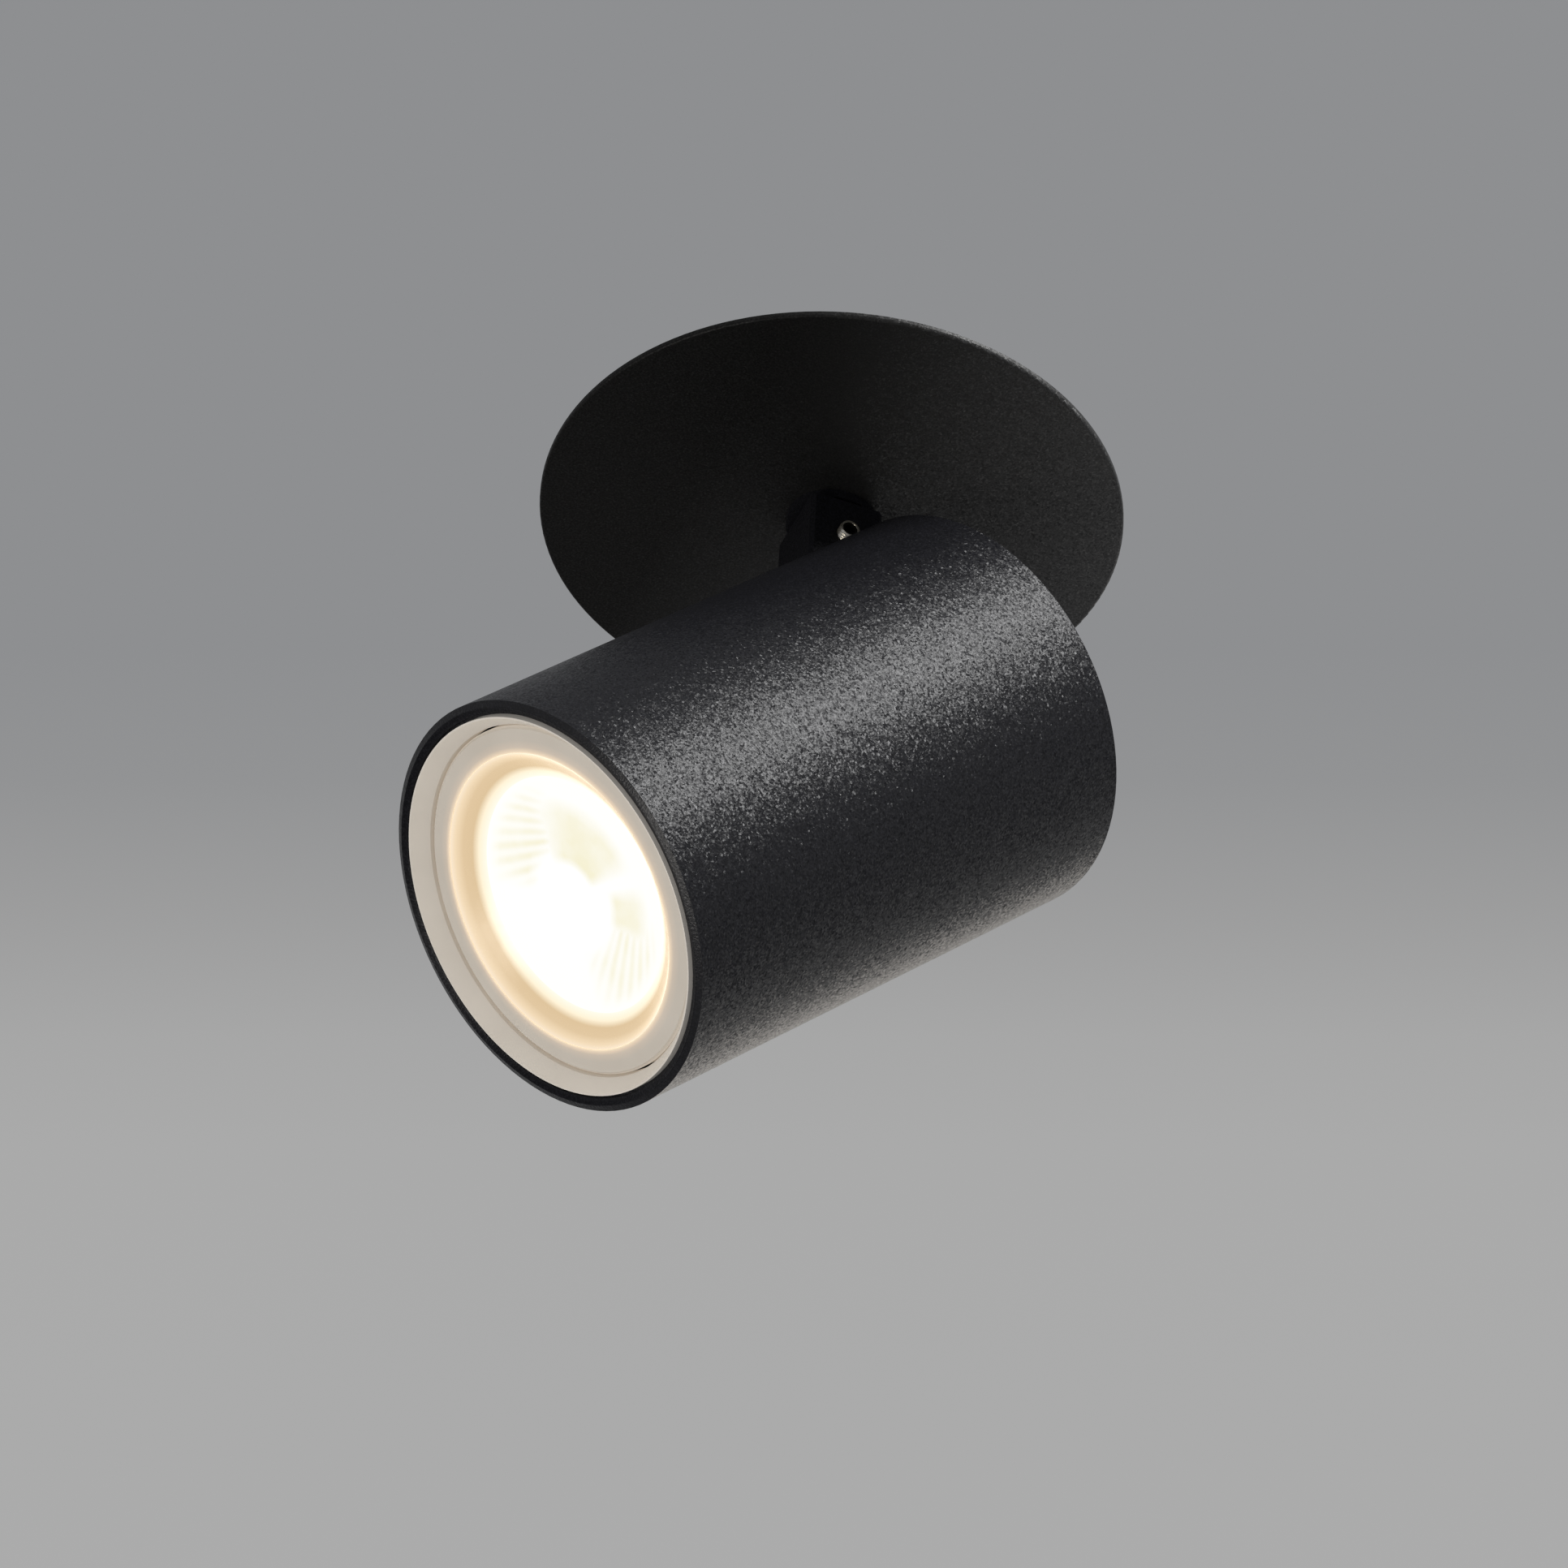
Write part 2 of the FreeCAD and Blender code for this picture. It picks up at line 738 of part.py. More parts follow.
def least_gap(edges, wire):
    """Smallest gap between turns that don't follow on from each other, measured on points."""
    points = []
    for edge in edges:
        points += edge.discretize(9)[:-1]
    reach = spring_mean_diameter * math.pi / 2
    run = [0.0]
    for p, q in zip(points, points[1:]):
        run.append(run[-1] + (q - p).Length)
    gaps = []
    for i, p in enumerate(points):
        for j in range(i + 1, len(points)):
            if run[j] - run[i] > reach:
                gaps.append((points[j] - p).Length - wire)
    return min(gaps)


def clip_spring():
    """Torsion spring round the clip's pin."""
    edges, start, way = spring_path()
    print("clip spring least gap %.2f mm" % least_gap(edges, spring_wire_diameter))
    spring = tube_along(Part.Wire(edges), spring_wire_diameter / 2, start, way)
    spring.translate(V(clip_pin_x, 0, clip_pin_height))
    return spring


# Swivel


def knuckle_arm():
    """Hollow arm with a round end at the tilt pivot, bored for the nipple, the grub screw and the leads."""
    body = block(-arm_half, arm_half, -arm_side, arm_side, pivot_z, arm_top)
    corners = [e for e in body.Edges if abs(e.tangentAt(e.FirstParameter).z) > 0.5]
    top = [e for e in body.Edges if e.BoundBox.ZMin > arm_top - flat_gap]
    body = body.makeChamfer(arm_edge_bevel, corners + top)
    nose = bar(arm_half, -arm_side, arm_side, 0, pivot_z)
    nose = nose.makeChamfer(arm_edge_bevel, [e for e in nose.Edges if e.BoundBox.YLength < flat_gap])
    body = body.fuse(nose).removeSplitter()
    socket = post(spigot_diameter / 2 + running_gap, spigot_end - seat_gap, arm_top)
    way = post(lead_bore / 2, pivot_z - arm_half, arm_top)
    grub = bar(grub_diameter / 2 + running_gap, -arm_side, 0, 0, grub_z)
    cuts = [socket, way, grub]
    for side in (-1, 1):
        inner = arm_side - pivot_thread_length - flat_gap
        near, far = sorted((side * inner, side * arm_side))
        cuts.append(bar(pivot_thread_diameter / 2 + running_gap, near, far, 0, pivot_z))
    return body.cut(cuts)


def grub_screw():
    """Hex socket screw whose tip runs in the nipple's groove."""
    outside = -arm_side - grub_proud
    shoulder = -spigot_diameter / 2 - loose_gap
    radius = grub_diameter / 2
    screw = lathe([
        (0, outside), (radius - grub_bevel, outside), (radius, outside + grub_bevel), (radius, shoulder),
        (grub_tip_diameter / 2, shoulder), (grub_tip_diameter / 2, -groove_floor - seat_gap),
        (0, -groove_floor - seat_gap),
    ], Y, X, V(0, 0, grub_z))
    return screw.cut(hexagon(grub_socket_flats, V(0, outside, grub_z), Y, grub_socket_depth))


def pivot_screw(side):
    """Shoulder screw that a cheek turns on."""
    thread = arm_side - pivot_thread_length
    end = pivot_head_inner + pivot_head_height
    screw = lathe([
        (0, thread), (pivot_thread_diameter / 2, thread), (pivot_thread_diameter / 2, arm_side),
        (pivot_shoulder_diameter / 2, arm_side), (pivot_shoulder_diameter / 2, pivot_head_inner),
        (pivot_head_diameter / 2, pivot_head_inner), (pivot_head_diameter / 2, end), (0, end),
    ], Y * side, X, V(0, 0, pivot_z))
    start = V(0, side * end, pivot_z)
    return screw.cut(hexagon(pivot_socket_flats, start, Y * -side, pivot_socket_depth))


def pivot_ring(side, diameter, near, thickness):
    """Flat ring round a pivot screw's shoulder."""
    low, high = sorted((side * near, side * (near + thickness)))
    hole = bar(pivot_shoulder_diameter / 2 + running_gap, low, high, 0, pivot_z)
    return bar(diameter / 2, low, high, 0, pivot_z).cut(hole)


def friction_washer(side):
    """Washer between the arm and a cheek."""
    return pivot_ring(side, friction_washer_diameter, arm_side + running_gap, friction_washer_thickness)


def disc_spring(side):
    """Coned spring washer, drawn flat under load, between a cheek and its screw's head."""
    return pivot_ring(side, disc_spring_diameter, cheek_outer + running_gap, disc_spring_thickness)


def stem_lead(side):
    """Lamp lead down the nipple and the arm."""
    y = side * lead_spacing / 2
    return post(lead_diameter / 2, pivot_z - lead_exit, stud_top, 0, y)


# Head, drawn about the pivot with the tube along X


def housing_tube():
    """Turned tube with a crested rim, a ledge inside, a seat for its rear cap and a slot for the arm."""
    bevel = tube_rim_bevel
    seat = bore_radius + cap_seat_width
    ledge_rear = bulkhead_rear - ledge_length
    tube = head_lathe([
        (seat, tube_rear), (tube_radius - bevel, tube_rear), (tube_radius, tube_rear + bevel),
        (tube_radius, tube_front - rim_fall), (tube_radius - rim_crest_inset, tube_front),
        (mouth_radius, tube_front - rim_fall), (mouth_radius, tube_front - mouth_depth),
        (bore_radius, tube_front - mouth_depth),
        (bore_radius, bulkhead_rear), (ledge_radius, bulkhead_rear), (ledge_radius, ledge_rear),
        (bore_radius, ledge_rear), (bore_radius, cap_front), (seat, cap_front),
    ])
    top = axis_z + tube_radius
    slot = block(tube_rear, arm_half + slot_gap, -slot_half, slot_half, -arm_half, top)
    return tube.cut([slot, grub_relief()])


def grub_relief():
    """Room at the slot's rear corner for the grub screw to pass as the head tilts."""
    corner = block(tube_rear, 0, -grub_way, grub_way, 0, axis_z + tube_radius)
    return corner.cut(bar(grub_sweep, -grub_way, grub_way))


def rear_cap():
    """Disc that closes the tube's rear, slotted where the arm swings out."""
    cap = head_lathe([
        (0, tube_rear), (bore_radius + cap_seat_width - running_gap, tube_rear),
        (bore_radius + cap_seat_width - running_gap, cap_front), (0, cap_front),
    ])
    slot = block(tube_rear, cap_front, -slot_half, slot_half, -arm_half - slot_gap, axis_z + tube_radius)
    cuts = [slot, grub_relief()]
    for side in (-1, 1):
        y, z = spacer_place(side)
        cuts.append(rod(small_screw_diameter / 2 + running_gap, tube_rear, cap_front, y, z))
        cuts.append(cap_screw_cone(y, z, running_gap))
    return cap.cut(cuts)


def spacer_place(side):
    """Where a rear spacer stands across the tube."""
    return side * spacer_spacing / 2, axis_z - spacer_drop


def cap_screw_cone(y, z, gap):
    """Countersunk head of a cap screw, or the sink for it with a gap."""
    wide = small_head_diameter / 2 + gap
    narrow = small_screw_diameter / 2 + gap
    depth = (small_head_diameter - small_screw_diameter) / 2
    return Part.makeCone(wide, narrow, depth, V(tube_rear, y, z), X)


def cap_screw(side):
    """Countersunk hex socket screw through the cap into a spacer."""
    y, z = spacer_place(side)
    shank = rod(small_screw_diameter / 2, tube_rear, tube_rear + cap_screw_length, y, z)
    socket = hexagon(small_socket_flats, V(tube_rear, y, z), X, small_screw_diameter / 2)
    return cap_screw_cone(y, z, 0).fuse(shank).removeSplitter().cut(socket)


def cap_spacer(side):
    """Tapped post between the bulkhead and the cap, riveted through the bulkhead."""
    y, z = spacer_place(side)
    spacer = rod(spacer_diameter / 2, cap_front, bulkhead_rear, y, z)
    spacer = spacer.fuse(rod(spacer_rivet_diameter / 2, bulkhead_rear, bulkhead_front, y, z))
    hole_end = tube_rear + cap_screw_length + flat_gap
    return spacer.cut(rod(small_screw_diameter / 2 + running_gap, cap_front, hole_end, y, z))


def bulkhead():
    """Disc against the tube's ledge that carries the lamp holder, the cheeks and the spacers."""
    disc = head_lathe([
        (0, bulkhead_rear), (bore_radius - flat_gap, bulkhead_rear), (bore_radius - flat_gap, bulkhead_front),
        (0, bulkhead_front),
    ])
    half = lead_spacing / 2 + lead_diameter
    cuts = [block(bulkhead_rear, bulkhead_front, -half, half, lead_entry_z - half, lead_entry_z + half)]
    for side in (-1, 1):
        y, z = spacer_place(side)
        cuts.append(rod(spacer_rivet_diameter / 2 + running_gap, bulkhead_rear, bulkhead_front, y, z))
        cuts.append(rod(small_screw_diameter / 2 + running_gap, bulkhead_rear, bulkhead_front,
                        side * holder_screw_spacing / 2, axis_z))
    return disc.cut(cuts)


def cheek(side):
    """Angle bracket: a cheek on the tilt pivot and a foot against the bulkhead."""
    near, far = sorted((side * cheek_inner, side * cheek_outer))
    plate = block(0, bulkhead_rear, near, far, -cheek_drop, cheek_rise)
    plate = plate.fuse(bar(cheek_nose_radius, near, far))
    near, far = sorted((side * cheek_inner, side * (cheek_outer + foot_width)))
    foot = block(foot_rear, bulkhead_rear, near, far, axis_z - foot_margin, foot_rise)
    shape = plate.fuse(foot).removeSplitter()
    pivot = bar(pivot_shoulder_diameter / 2 + running_gap, -tube_radius, tube_radius)
    screw = rod(small_screw_diameter / 2 + running_gap, foot_rear, bulkhead_rear,
                side * holder_screw_spacing / 2, axis_z)
    return shape.cut([pivot, screw])


def arc_slot(radius, width, first, last, rear, front):
    """Curved slot about the tube's axis with round ends, between two angles."""
    def at(r, degrees):
        turn = math.radians(degrees)
        return V(rear, r * math.cos(turn), axis_z + r * math.sin(turn))

    inner = radius - width / 2
    outer = radius + width / 2
    middle = (first + last) / 2
    way_first = (at(radius, first - 90) - V(rear, 0, axis_z)).normalize() * (width / 2)
    way_last = (at(radius, last + 90) - V(rear, 0, axis_z)).normalize() * (width / 2)
    edges = [
        Part.Arc(at(outer, first), at(outer, middle), at(outer, last)).toShape(),
        Part.Arc(at(outer, last), at(radius, last) + way_last, at(inner, last)).toShape(),
        Part.Arc(at(inner, last), at(inner, middle), at(inner, first)).toShape(),
        Part.Arc(at(inner, first), at(radius, first) + way_first, at(outer, first)).toShape(),
    ]
    return Part.Face(Part.Wire(edges)).extrude(X * (front - rear))


def lamp_holder():
    """Ceramic twist-lock holder with two keyholes, two screw ways and a lead way."""
    round_end = holder_height / 2
    reach = holder_width / 2 - round_end
    body = block(bulkhead_front, holder_front, -reach, reach, axis_z - round_end, axis_z + round_end)
    ends = [rod(round_end, bulkhead_front, holder_front, side * reach, axis_z) for side in (-1, 1)]
    body = body.fuse(ends).removeSplitter()
    lip_rear = holder_front - holder_lip
    cuts = []
    for side, turn in ((1, 0), (-1, 180)):
        pin_radius = pin_spacing / 2
        slot_width = pin_diameter + 2 * loose_gap
        head_width = pin_head_diameter + 2 * loose_gap
        cuts.append(arc_slot(pin_radius, slot_width, turn, turn + lamp_twist, lip_rear, holder_front))
        cavity_width = head_width + 2 * seat_gap
        cuts.append(arc_slot(pin_radius, cavity_width, turn, turn + lamp_twist, cavity_rear, lip_rear))
        entry = math.radians(turn + lamp_twist)
        cuts.append(rod(head_width / 2, lip_rear, holder_front, pin_radius * math.cos(entry),
                        axis_z + pin_radius * math.sin(entry)))
        y = side * holder_screw_spacing / 2
        cuts.append(rod(small_screw_diameter / 2 + running_gap, bulkhead_front, holder_front, y, axis_z))
        pocket = holder_front - holder_screw_pocket
        cuts.append(rod(small_head_diameter / 2 + flat_gap, pocket, holder_front, y, axis_z))
    half = lead_spacing / 2
    room = lead_diameter / 2 + flat_gap
    way_end = bulkhead_front + lead_entry
    way = block(bulkhead_front, way_end, -half, half, lead_entry_z - room, lead_entry_z + room)
    way = way.fuse([rod(room, bulkhead_front, way_end, y, lead_entry_z) for y in (-half, half)])
    return body.cut(cuts + [way.removeSplitter()])


def holder_contact(side):
    """Flat contact behind a lamp pin."""
    half = contact_width / 2
    y = side * pin_spacing / 2
    front = cavity_rear + contact_thickness
    return block(cavity_rear, front, y - half, y + half, axis_z - half, axis_z + half)


def holder_screw(side):
    """Screw through the holder, the bulkhead and a cheek's foot."""
    y = side * holder_screw_spacing / 2
    seat = holder_front - holder_screw_pocket
    head = rod(small_head_diameter / 2, seat, seat + small_head_height, y, axis_z)
    shank = rod(small_screw_diameter / 2, foot_rear - small_nut_height - screw_tail, seat, y, axis_z)
    socket = hexagon(small_socket_flats, V(seat + small_head_height, y, axis_z), -X, small_head_height / 2)
    return head.fuse(shank).removeSplitter().cut(socket)


def holder_nut(side):
    """Nut behind a cheek's foot."""
    y = side * holder_screw_spacing / 2
    rear = foot_rear - small_nut_height
    nut = hexagon(small_nut_flats, V(rear, y, axis_z), X, small_nut_height)
    return nut.cut(rod(small_screw_diameter / 2 + running_gap, rear, foot_rear, y, axis_z))


def head_lead(side):
    """Lamp lead from the end of the arm, down behind the bulkhead, into the holder."""
    y = side * lead_spacing / 2
    tilt = math.radians(rest_tilt)
    start = lead_exit + flat_gap
    bend = lead_drop_x / math.sin(tilt)
    return lead([
        V(start * math.sin(tilt), y, -start * math.cos(tilt)),
        V(lead_drop_x, y, -bend * math.cos(tilt)),
        V(lead_drop_x, y, lead_entry_z),
        V(bulkhead_front + lead_entry - flat_gap, y, lead_entry_z),
    ])


def trim_ring():
    """Pale funnel in the mouth between the tube and the lamp."""
    inner = lamp_radius + loose_gap
    outer = bore_radius - flat_gap
    front = tube_front - trim_recess
    return head_lathe([
        (inner, front - trim_length), (outer, front - trim_length), (outer, front),
        (outer - trim_lip, front), (inner, front - trim_slope),
    ])


# Lamp


def lamp_rim():
    """Front ring of the lamp, falling away from the lens."""
    brow = lamp_front - lamp_rim_drop
    inner = lamp_radius - lamp_rim_width
    return head_lathe([
        (inner, lamp_front - lamp_rim_depth), (lamp_radius, lamp_front - lamp_rim_depth),
        (lamp_radius, brow - lamp_rim_bevel), (lamp_radius - lamp_rim_bevel, brow),
        (inner, lamp_front),
    ])


def lamp_shell():
    """Tapered shell behind the rim, down to the base."""
    front = lamp_front - lamp_rim_depth
    return head_lathe([
        (lamp_radius, front), (lamp_radius, shoulder_x), (waist_radius, waist_x), (base_radius, base_rear),
        (base_radius - lamp_wall, base_rear), (waist_radius - lamp_wall, waist_x),
        (lamp_radius - lamp_wall, shoulder_x), (lamp_radius - lamp_wall, front),
    ])


def lamp_base():
    """Insulating base with a floor that the pins stand in."""
    inner = base_radius - lamp_wall
    floor = lamp_rear + lamp_base_floor
    base = head_lathe([
        (0, lamp_rear), (base_radius, lamp_rear), (base_radius, base_rear), (inner, base_rear),
        (inner, floor), (0, floor),
    ])
    holes = [rod(pin_diameter / 2 + running_gap, lamp_rear, floor, side * pin_spacing / 2, axis_z)
             for side in (-1, 1)]
    return base.cut(holes)


def lamp_pin(side):
    """Headed contact pin."""
    y = side * pin_spacing / 2
    shank = rod(pin_diameter / 2, pin_tip + pin_head_height, lamp_rear + lamp_base_floor, y, axis_z)
    head = rod(pin_head_diameter / 2, pin_tip, pin_tip + pin_head_height, y, axis_z)
    return shank.fuse(head).removeSplitter()


def lamp_lens():
    """Clear front with a bevelled edge and a low crown."""
    edge = lamp_radius - lamp_rim_width - running_gap
    foot = edge - lens_bevel_width
    return head_lathe([
        (0, lamp_front - lens_edge_depth + lens_crown),
        (foot - lens_edge_width, lamp_front - lens_edge_depth),
        (foot, lamp_front - lens_bevel_depth - flat_gap), (edge, lamp_front - flat_gap),
        (edge, lamp_front - lens_back), (0, lamp_front - lens_back),
    ])


def lamp_reflector():
    """Bowl that throws the light forwards."""
    front = lamp_front - lens_back - flat_gap
    rear = lamp_front - reflector_depth
    mouth = lamp_radius - lamp_rim_width - lens_bevel_width - reflector_wall / 2
    throat = reflector_throat / 2
    waist = (front + rear) / 2
    belly = throat + (mouth - throat) * reflector_belly_share
    return head_lathe([
        (mouth, front), (belly, waist), (throat, rear), (throat + reflector_wall, rear),
        (belly + reflector_wall, waist), (mouth + reflector_wall, front),
    ])


def lamp_led_board():
    """Board across the shell that the emitter is bonded to."""
    front = lamp_front - reflector_depth - emitter_thickness
    back = front - led_board_thickness
    share = (back - waist_x) / (shoulder_x - waist_x)
    radius = waist_radius + (lamp_radius - waist_radius) * share - lamp_wall - loose_gap
    return head_lathe([(0, back), (radius, back), (radius, front), (0, front)])


def lamp_emitter():
    """Round light source on its board."""
    front = lamp_front - reflector_depth
    return rod(emitter_diameter / 2, front - emitter_thickness, front, 0, axis_z)


def lamp_driver_board():
    """Small circuit board in the lamp's neck, standing in the base."""
    rear = lamp_rear + lamp_base_floor + flat_gap
    half = driver_board_width / 2
    half_thickness = driver_board_thickness / 2
    front = rear + driver_board_length
    return block(rear, front, -half, half, axis_z - half_thickness, axis_z + half_thickness)


def build():
    """Write every node."""
    os.makedirs("parts", exist_ok=True)
    save("ceiling_plate", ceiling_plate(), in_ceiling)
    save("clip_bracket", clip_bracket(), in_ceiling)
    save("swivel_nipple", swivel_nipple())
    save("toothed_washer", toothed_washer(), in_ceiling)
    save("lock_nut", lock_nut(), in_ceiling)
    save("earth_tag", earth_tag(), in_ceiling)
    save("earth_screw", earth_screw(), in_ceiling)
    save("earth_lead", earth_lead(), in_ceiling)
    save("terminal_block", terminal_block(), in_ceiling)
    save("terminal_inserts", terminal_inserts(), in_ceiling)
    save("terminal_screws", terminal_screws(), in_ceiling)
    save("terminal_cover", terminal_cover(), in_ceiling)
    save("cover_screw", cover_screw(), in_ceiling)
    save("inlet_grommet", inlet_grommet(), in_ceiling)
    save("box_leads", box_leads(), in_ceiling)
    save("clip_pins", clip_pins(), in_ceiling)
    for name, make in (("clip_arm", clip_arm), ("clip_sleeve", clip_sleeve), ("clip_spring", clip_spring)):
        shape = make()
        save("right_" + name, shape, in_ceiling)
        save("left_" + name, mirrored_x(shape), in_ceiling)

    save("knuckle_arm", knuckle_arm())
    save("grub_screw", grub_screw())
    save("pivot_screws", pair(pivot_screw))
    save("friction_washers", pair(friction_washer))
    save("disc_springs", pair(disc_spring))
    save("stem_leads", pair(stem_lead))

    save("housing_tube", housing_tube(), in_head)
    save("rear_cap", rear_cap(), in_head)
    save("cap_screws", pair(cap_screw), in_head)
    save("cap_spacers", pair(cap_spacer), in_head)
    save("bulkhead", bulkhead(), in_head)
    save("left_cheek", cheek(1), in_head)
    save("right_cheek", cheek(-1), in_head)
    save("lamp_holder", lamp_holder(), in_head)
    save("holder_contacts", pair(holder_contact), in_head)
    save("holder_screws", pair(holder_screw), in_head)
    save("holder_nuts", pair(holder_nut), in_head)
    save("head_leads", pair(head_lead), in_head)
    save("trim_ring", trim_ring(), in_head)

    save("lamp_rim", lamp_rim(), in_head)
    save("lamp_shell", lamp_shell(), in_head)
    save("lamp_base", lamp_base(), in_head)
    save("lamp_pins", pair(lamp_pin), in_head)
    save("lamp_lens", lamp_lens(), in_head)
    save("lamp_reflector", lamp_reflector(), in_head)
    save("lamp_led_board", lamp_led_board(), in_head)
    save("lamp_emitter", lamp_emitter(), in_head)
    save("lamp_driver_board", lamp_driver_board(), in_head)


build()
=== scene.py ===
"""Looks of the recessed spotlight: finishes, lit lamp, coils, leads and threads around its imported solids.

Lengths are in metres, in the frame of the solids: +Z up into the ceiling, the head pointing towards -X and down.
"""

import logging
import math
from dataclasses import dataclass
from enum import Enum

import bpy
from mathutils import Matrix, Vector


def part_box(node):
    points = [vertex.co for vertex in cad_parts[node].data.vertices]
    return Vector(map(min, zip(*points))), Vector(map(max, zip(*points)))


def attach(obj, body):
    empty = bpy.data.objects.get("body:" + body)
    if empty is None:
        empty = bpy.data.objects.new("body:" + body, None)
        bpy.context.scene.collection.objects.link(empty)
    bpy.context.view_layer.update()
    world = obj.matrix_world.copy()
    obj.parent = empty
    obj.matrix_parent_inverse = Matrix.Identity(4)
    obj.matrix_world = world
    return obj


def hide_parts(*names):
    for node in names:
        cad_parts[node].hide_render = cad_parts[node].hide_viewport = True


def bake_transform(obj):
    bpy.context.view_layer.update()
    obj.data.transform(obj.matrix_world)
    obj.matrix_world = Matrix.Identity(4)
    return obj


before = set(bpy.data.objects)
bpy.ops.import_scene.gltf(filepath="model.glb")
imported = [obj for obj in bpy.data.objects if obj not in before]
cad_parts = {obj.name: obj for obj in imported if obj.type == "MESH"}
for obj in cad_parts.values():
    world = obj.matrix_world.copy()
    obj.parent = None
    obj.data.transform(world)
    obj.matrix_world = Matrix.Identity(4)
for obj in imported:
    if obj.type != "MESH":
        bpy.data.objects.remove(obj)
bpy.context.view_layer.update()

log = logging.getLogger("spotlight")
MM = 0.001

# Distances at which points count as one: turns of a thread, points of a mesh, points on a cutting plane
TURN_WELD = 1e-6
POINT_WELD = 1e-7
CUT_SLACK = 1e-8

# Range that a noise texture mostly fills
NOISE_SPAN = (0.3, 0.7)

Triple = tuple[float, float, float]
Colour = Triple
Span = tuple[float, float]
Outline = list[Span]
Stops = tuple[tuple[float, Colour], ...]
Piece = bpy.types.Object
Socket = bpy.types.NodeSocket
Value = Socket | float | tuple[float, ...] | Vector


class Body(Enum):
    """Bodies that pieces ride on."""

    CEILING = "ceiling"
    LEFT_CLIP = "left_clip"
    RIGHT_CLIP = "right_clip"
    SWIVEL = "swivel"
    HEAD = "head"
    LAMP = "lamp"


class Side(Enum):
    """The two ceiling clips, by the sign of their reach along the clip line."""

    LEFT = -1
    RIGHT = 1


# Places shared by the sub-assemblies


def frame_at(x: Vector, y: Vector, z: Vector, origin: Vector) -> Matrix:
    """Frame with the given axes and origin.

    Args:
        x: First axis.
        y: Second axis.
        z: Third axis.
        origin: Where the frame stands.

    Returns:
        The matrix from the frame to the world.
    """
    return Matrix.Translation(origin) @ Matrix((x, y, z)).transposed().to_4x4()


@dataclass(frozen=True)
class Layout:
    """Where the moving sub-assemblies stand, and the radii and distances that they share."""

    pivot_z: float = -23.96 * MM
    axis_drop: float = 19.7 * MM
    rest_tilt: float = math.radians(43.7)
    clip_turn: float = math.radians(-20.0)
    window: float = 17.35 * MM
    lens_edge: float = 21.65 * MM
    lead: float = 0.9 * MM
    lead_sides: Span = (-1.0 * MM, 1.0 * MM)

    def head(self) -> Matrix:
        """Frame of the tube: Z forwards along its axis, Y towards the ceiling, X towards the viewer."""
        c = math.cos(self.rest_tilt)
        s = math.sin(self.rest_tilt)
        forward = Vector((-c, 0.0, -s))
        upward = Vector((-s, 0.0, c))
        across = upward.cross(forward)
        origin = Vector((0.0, 0.0, self.pivot_z)) - upward * self.axis_drop
        return frame_at(across, upward, forward, origin)

    def ceiling(self) -> Matrix:
        """Frame of the clips: X along the clip line, Z up."""
        return Matrix.Rotation(self.clip_turn, 4, "Z")


LAYOUT = Layout()


# Modelling moves


@dataclass(frozen=True)
class Thread:
    """A screw thread, with its profile and its spare ends as shares of one turn."""

    pitch: float
    depth: float
    sides: int = 48
    crest: Span = (0.42, 0.52)
    root: float = 0.92
    spare: float = 0.2
    lead_in: float = 1.5
    spare_turns: int = 3

    def profile(self, top: float, start: float) -> Outline:
        """Line of one turn, from root over crest to root.

        Args:
            top: Radius of the crest.
            start: Height where the turn starts.

        Returns:
            Pairs of radius and height.
        """
        low = top - self.depth
        shares = ((low, 0.0), (top, self.crest[0]), (top, self.crest[1]), (low, self.root), (low, 1.0))
        return [(radius, start + share * self.pitch) for radius, share in shares]


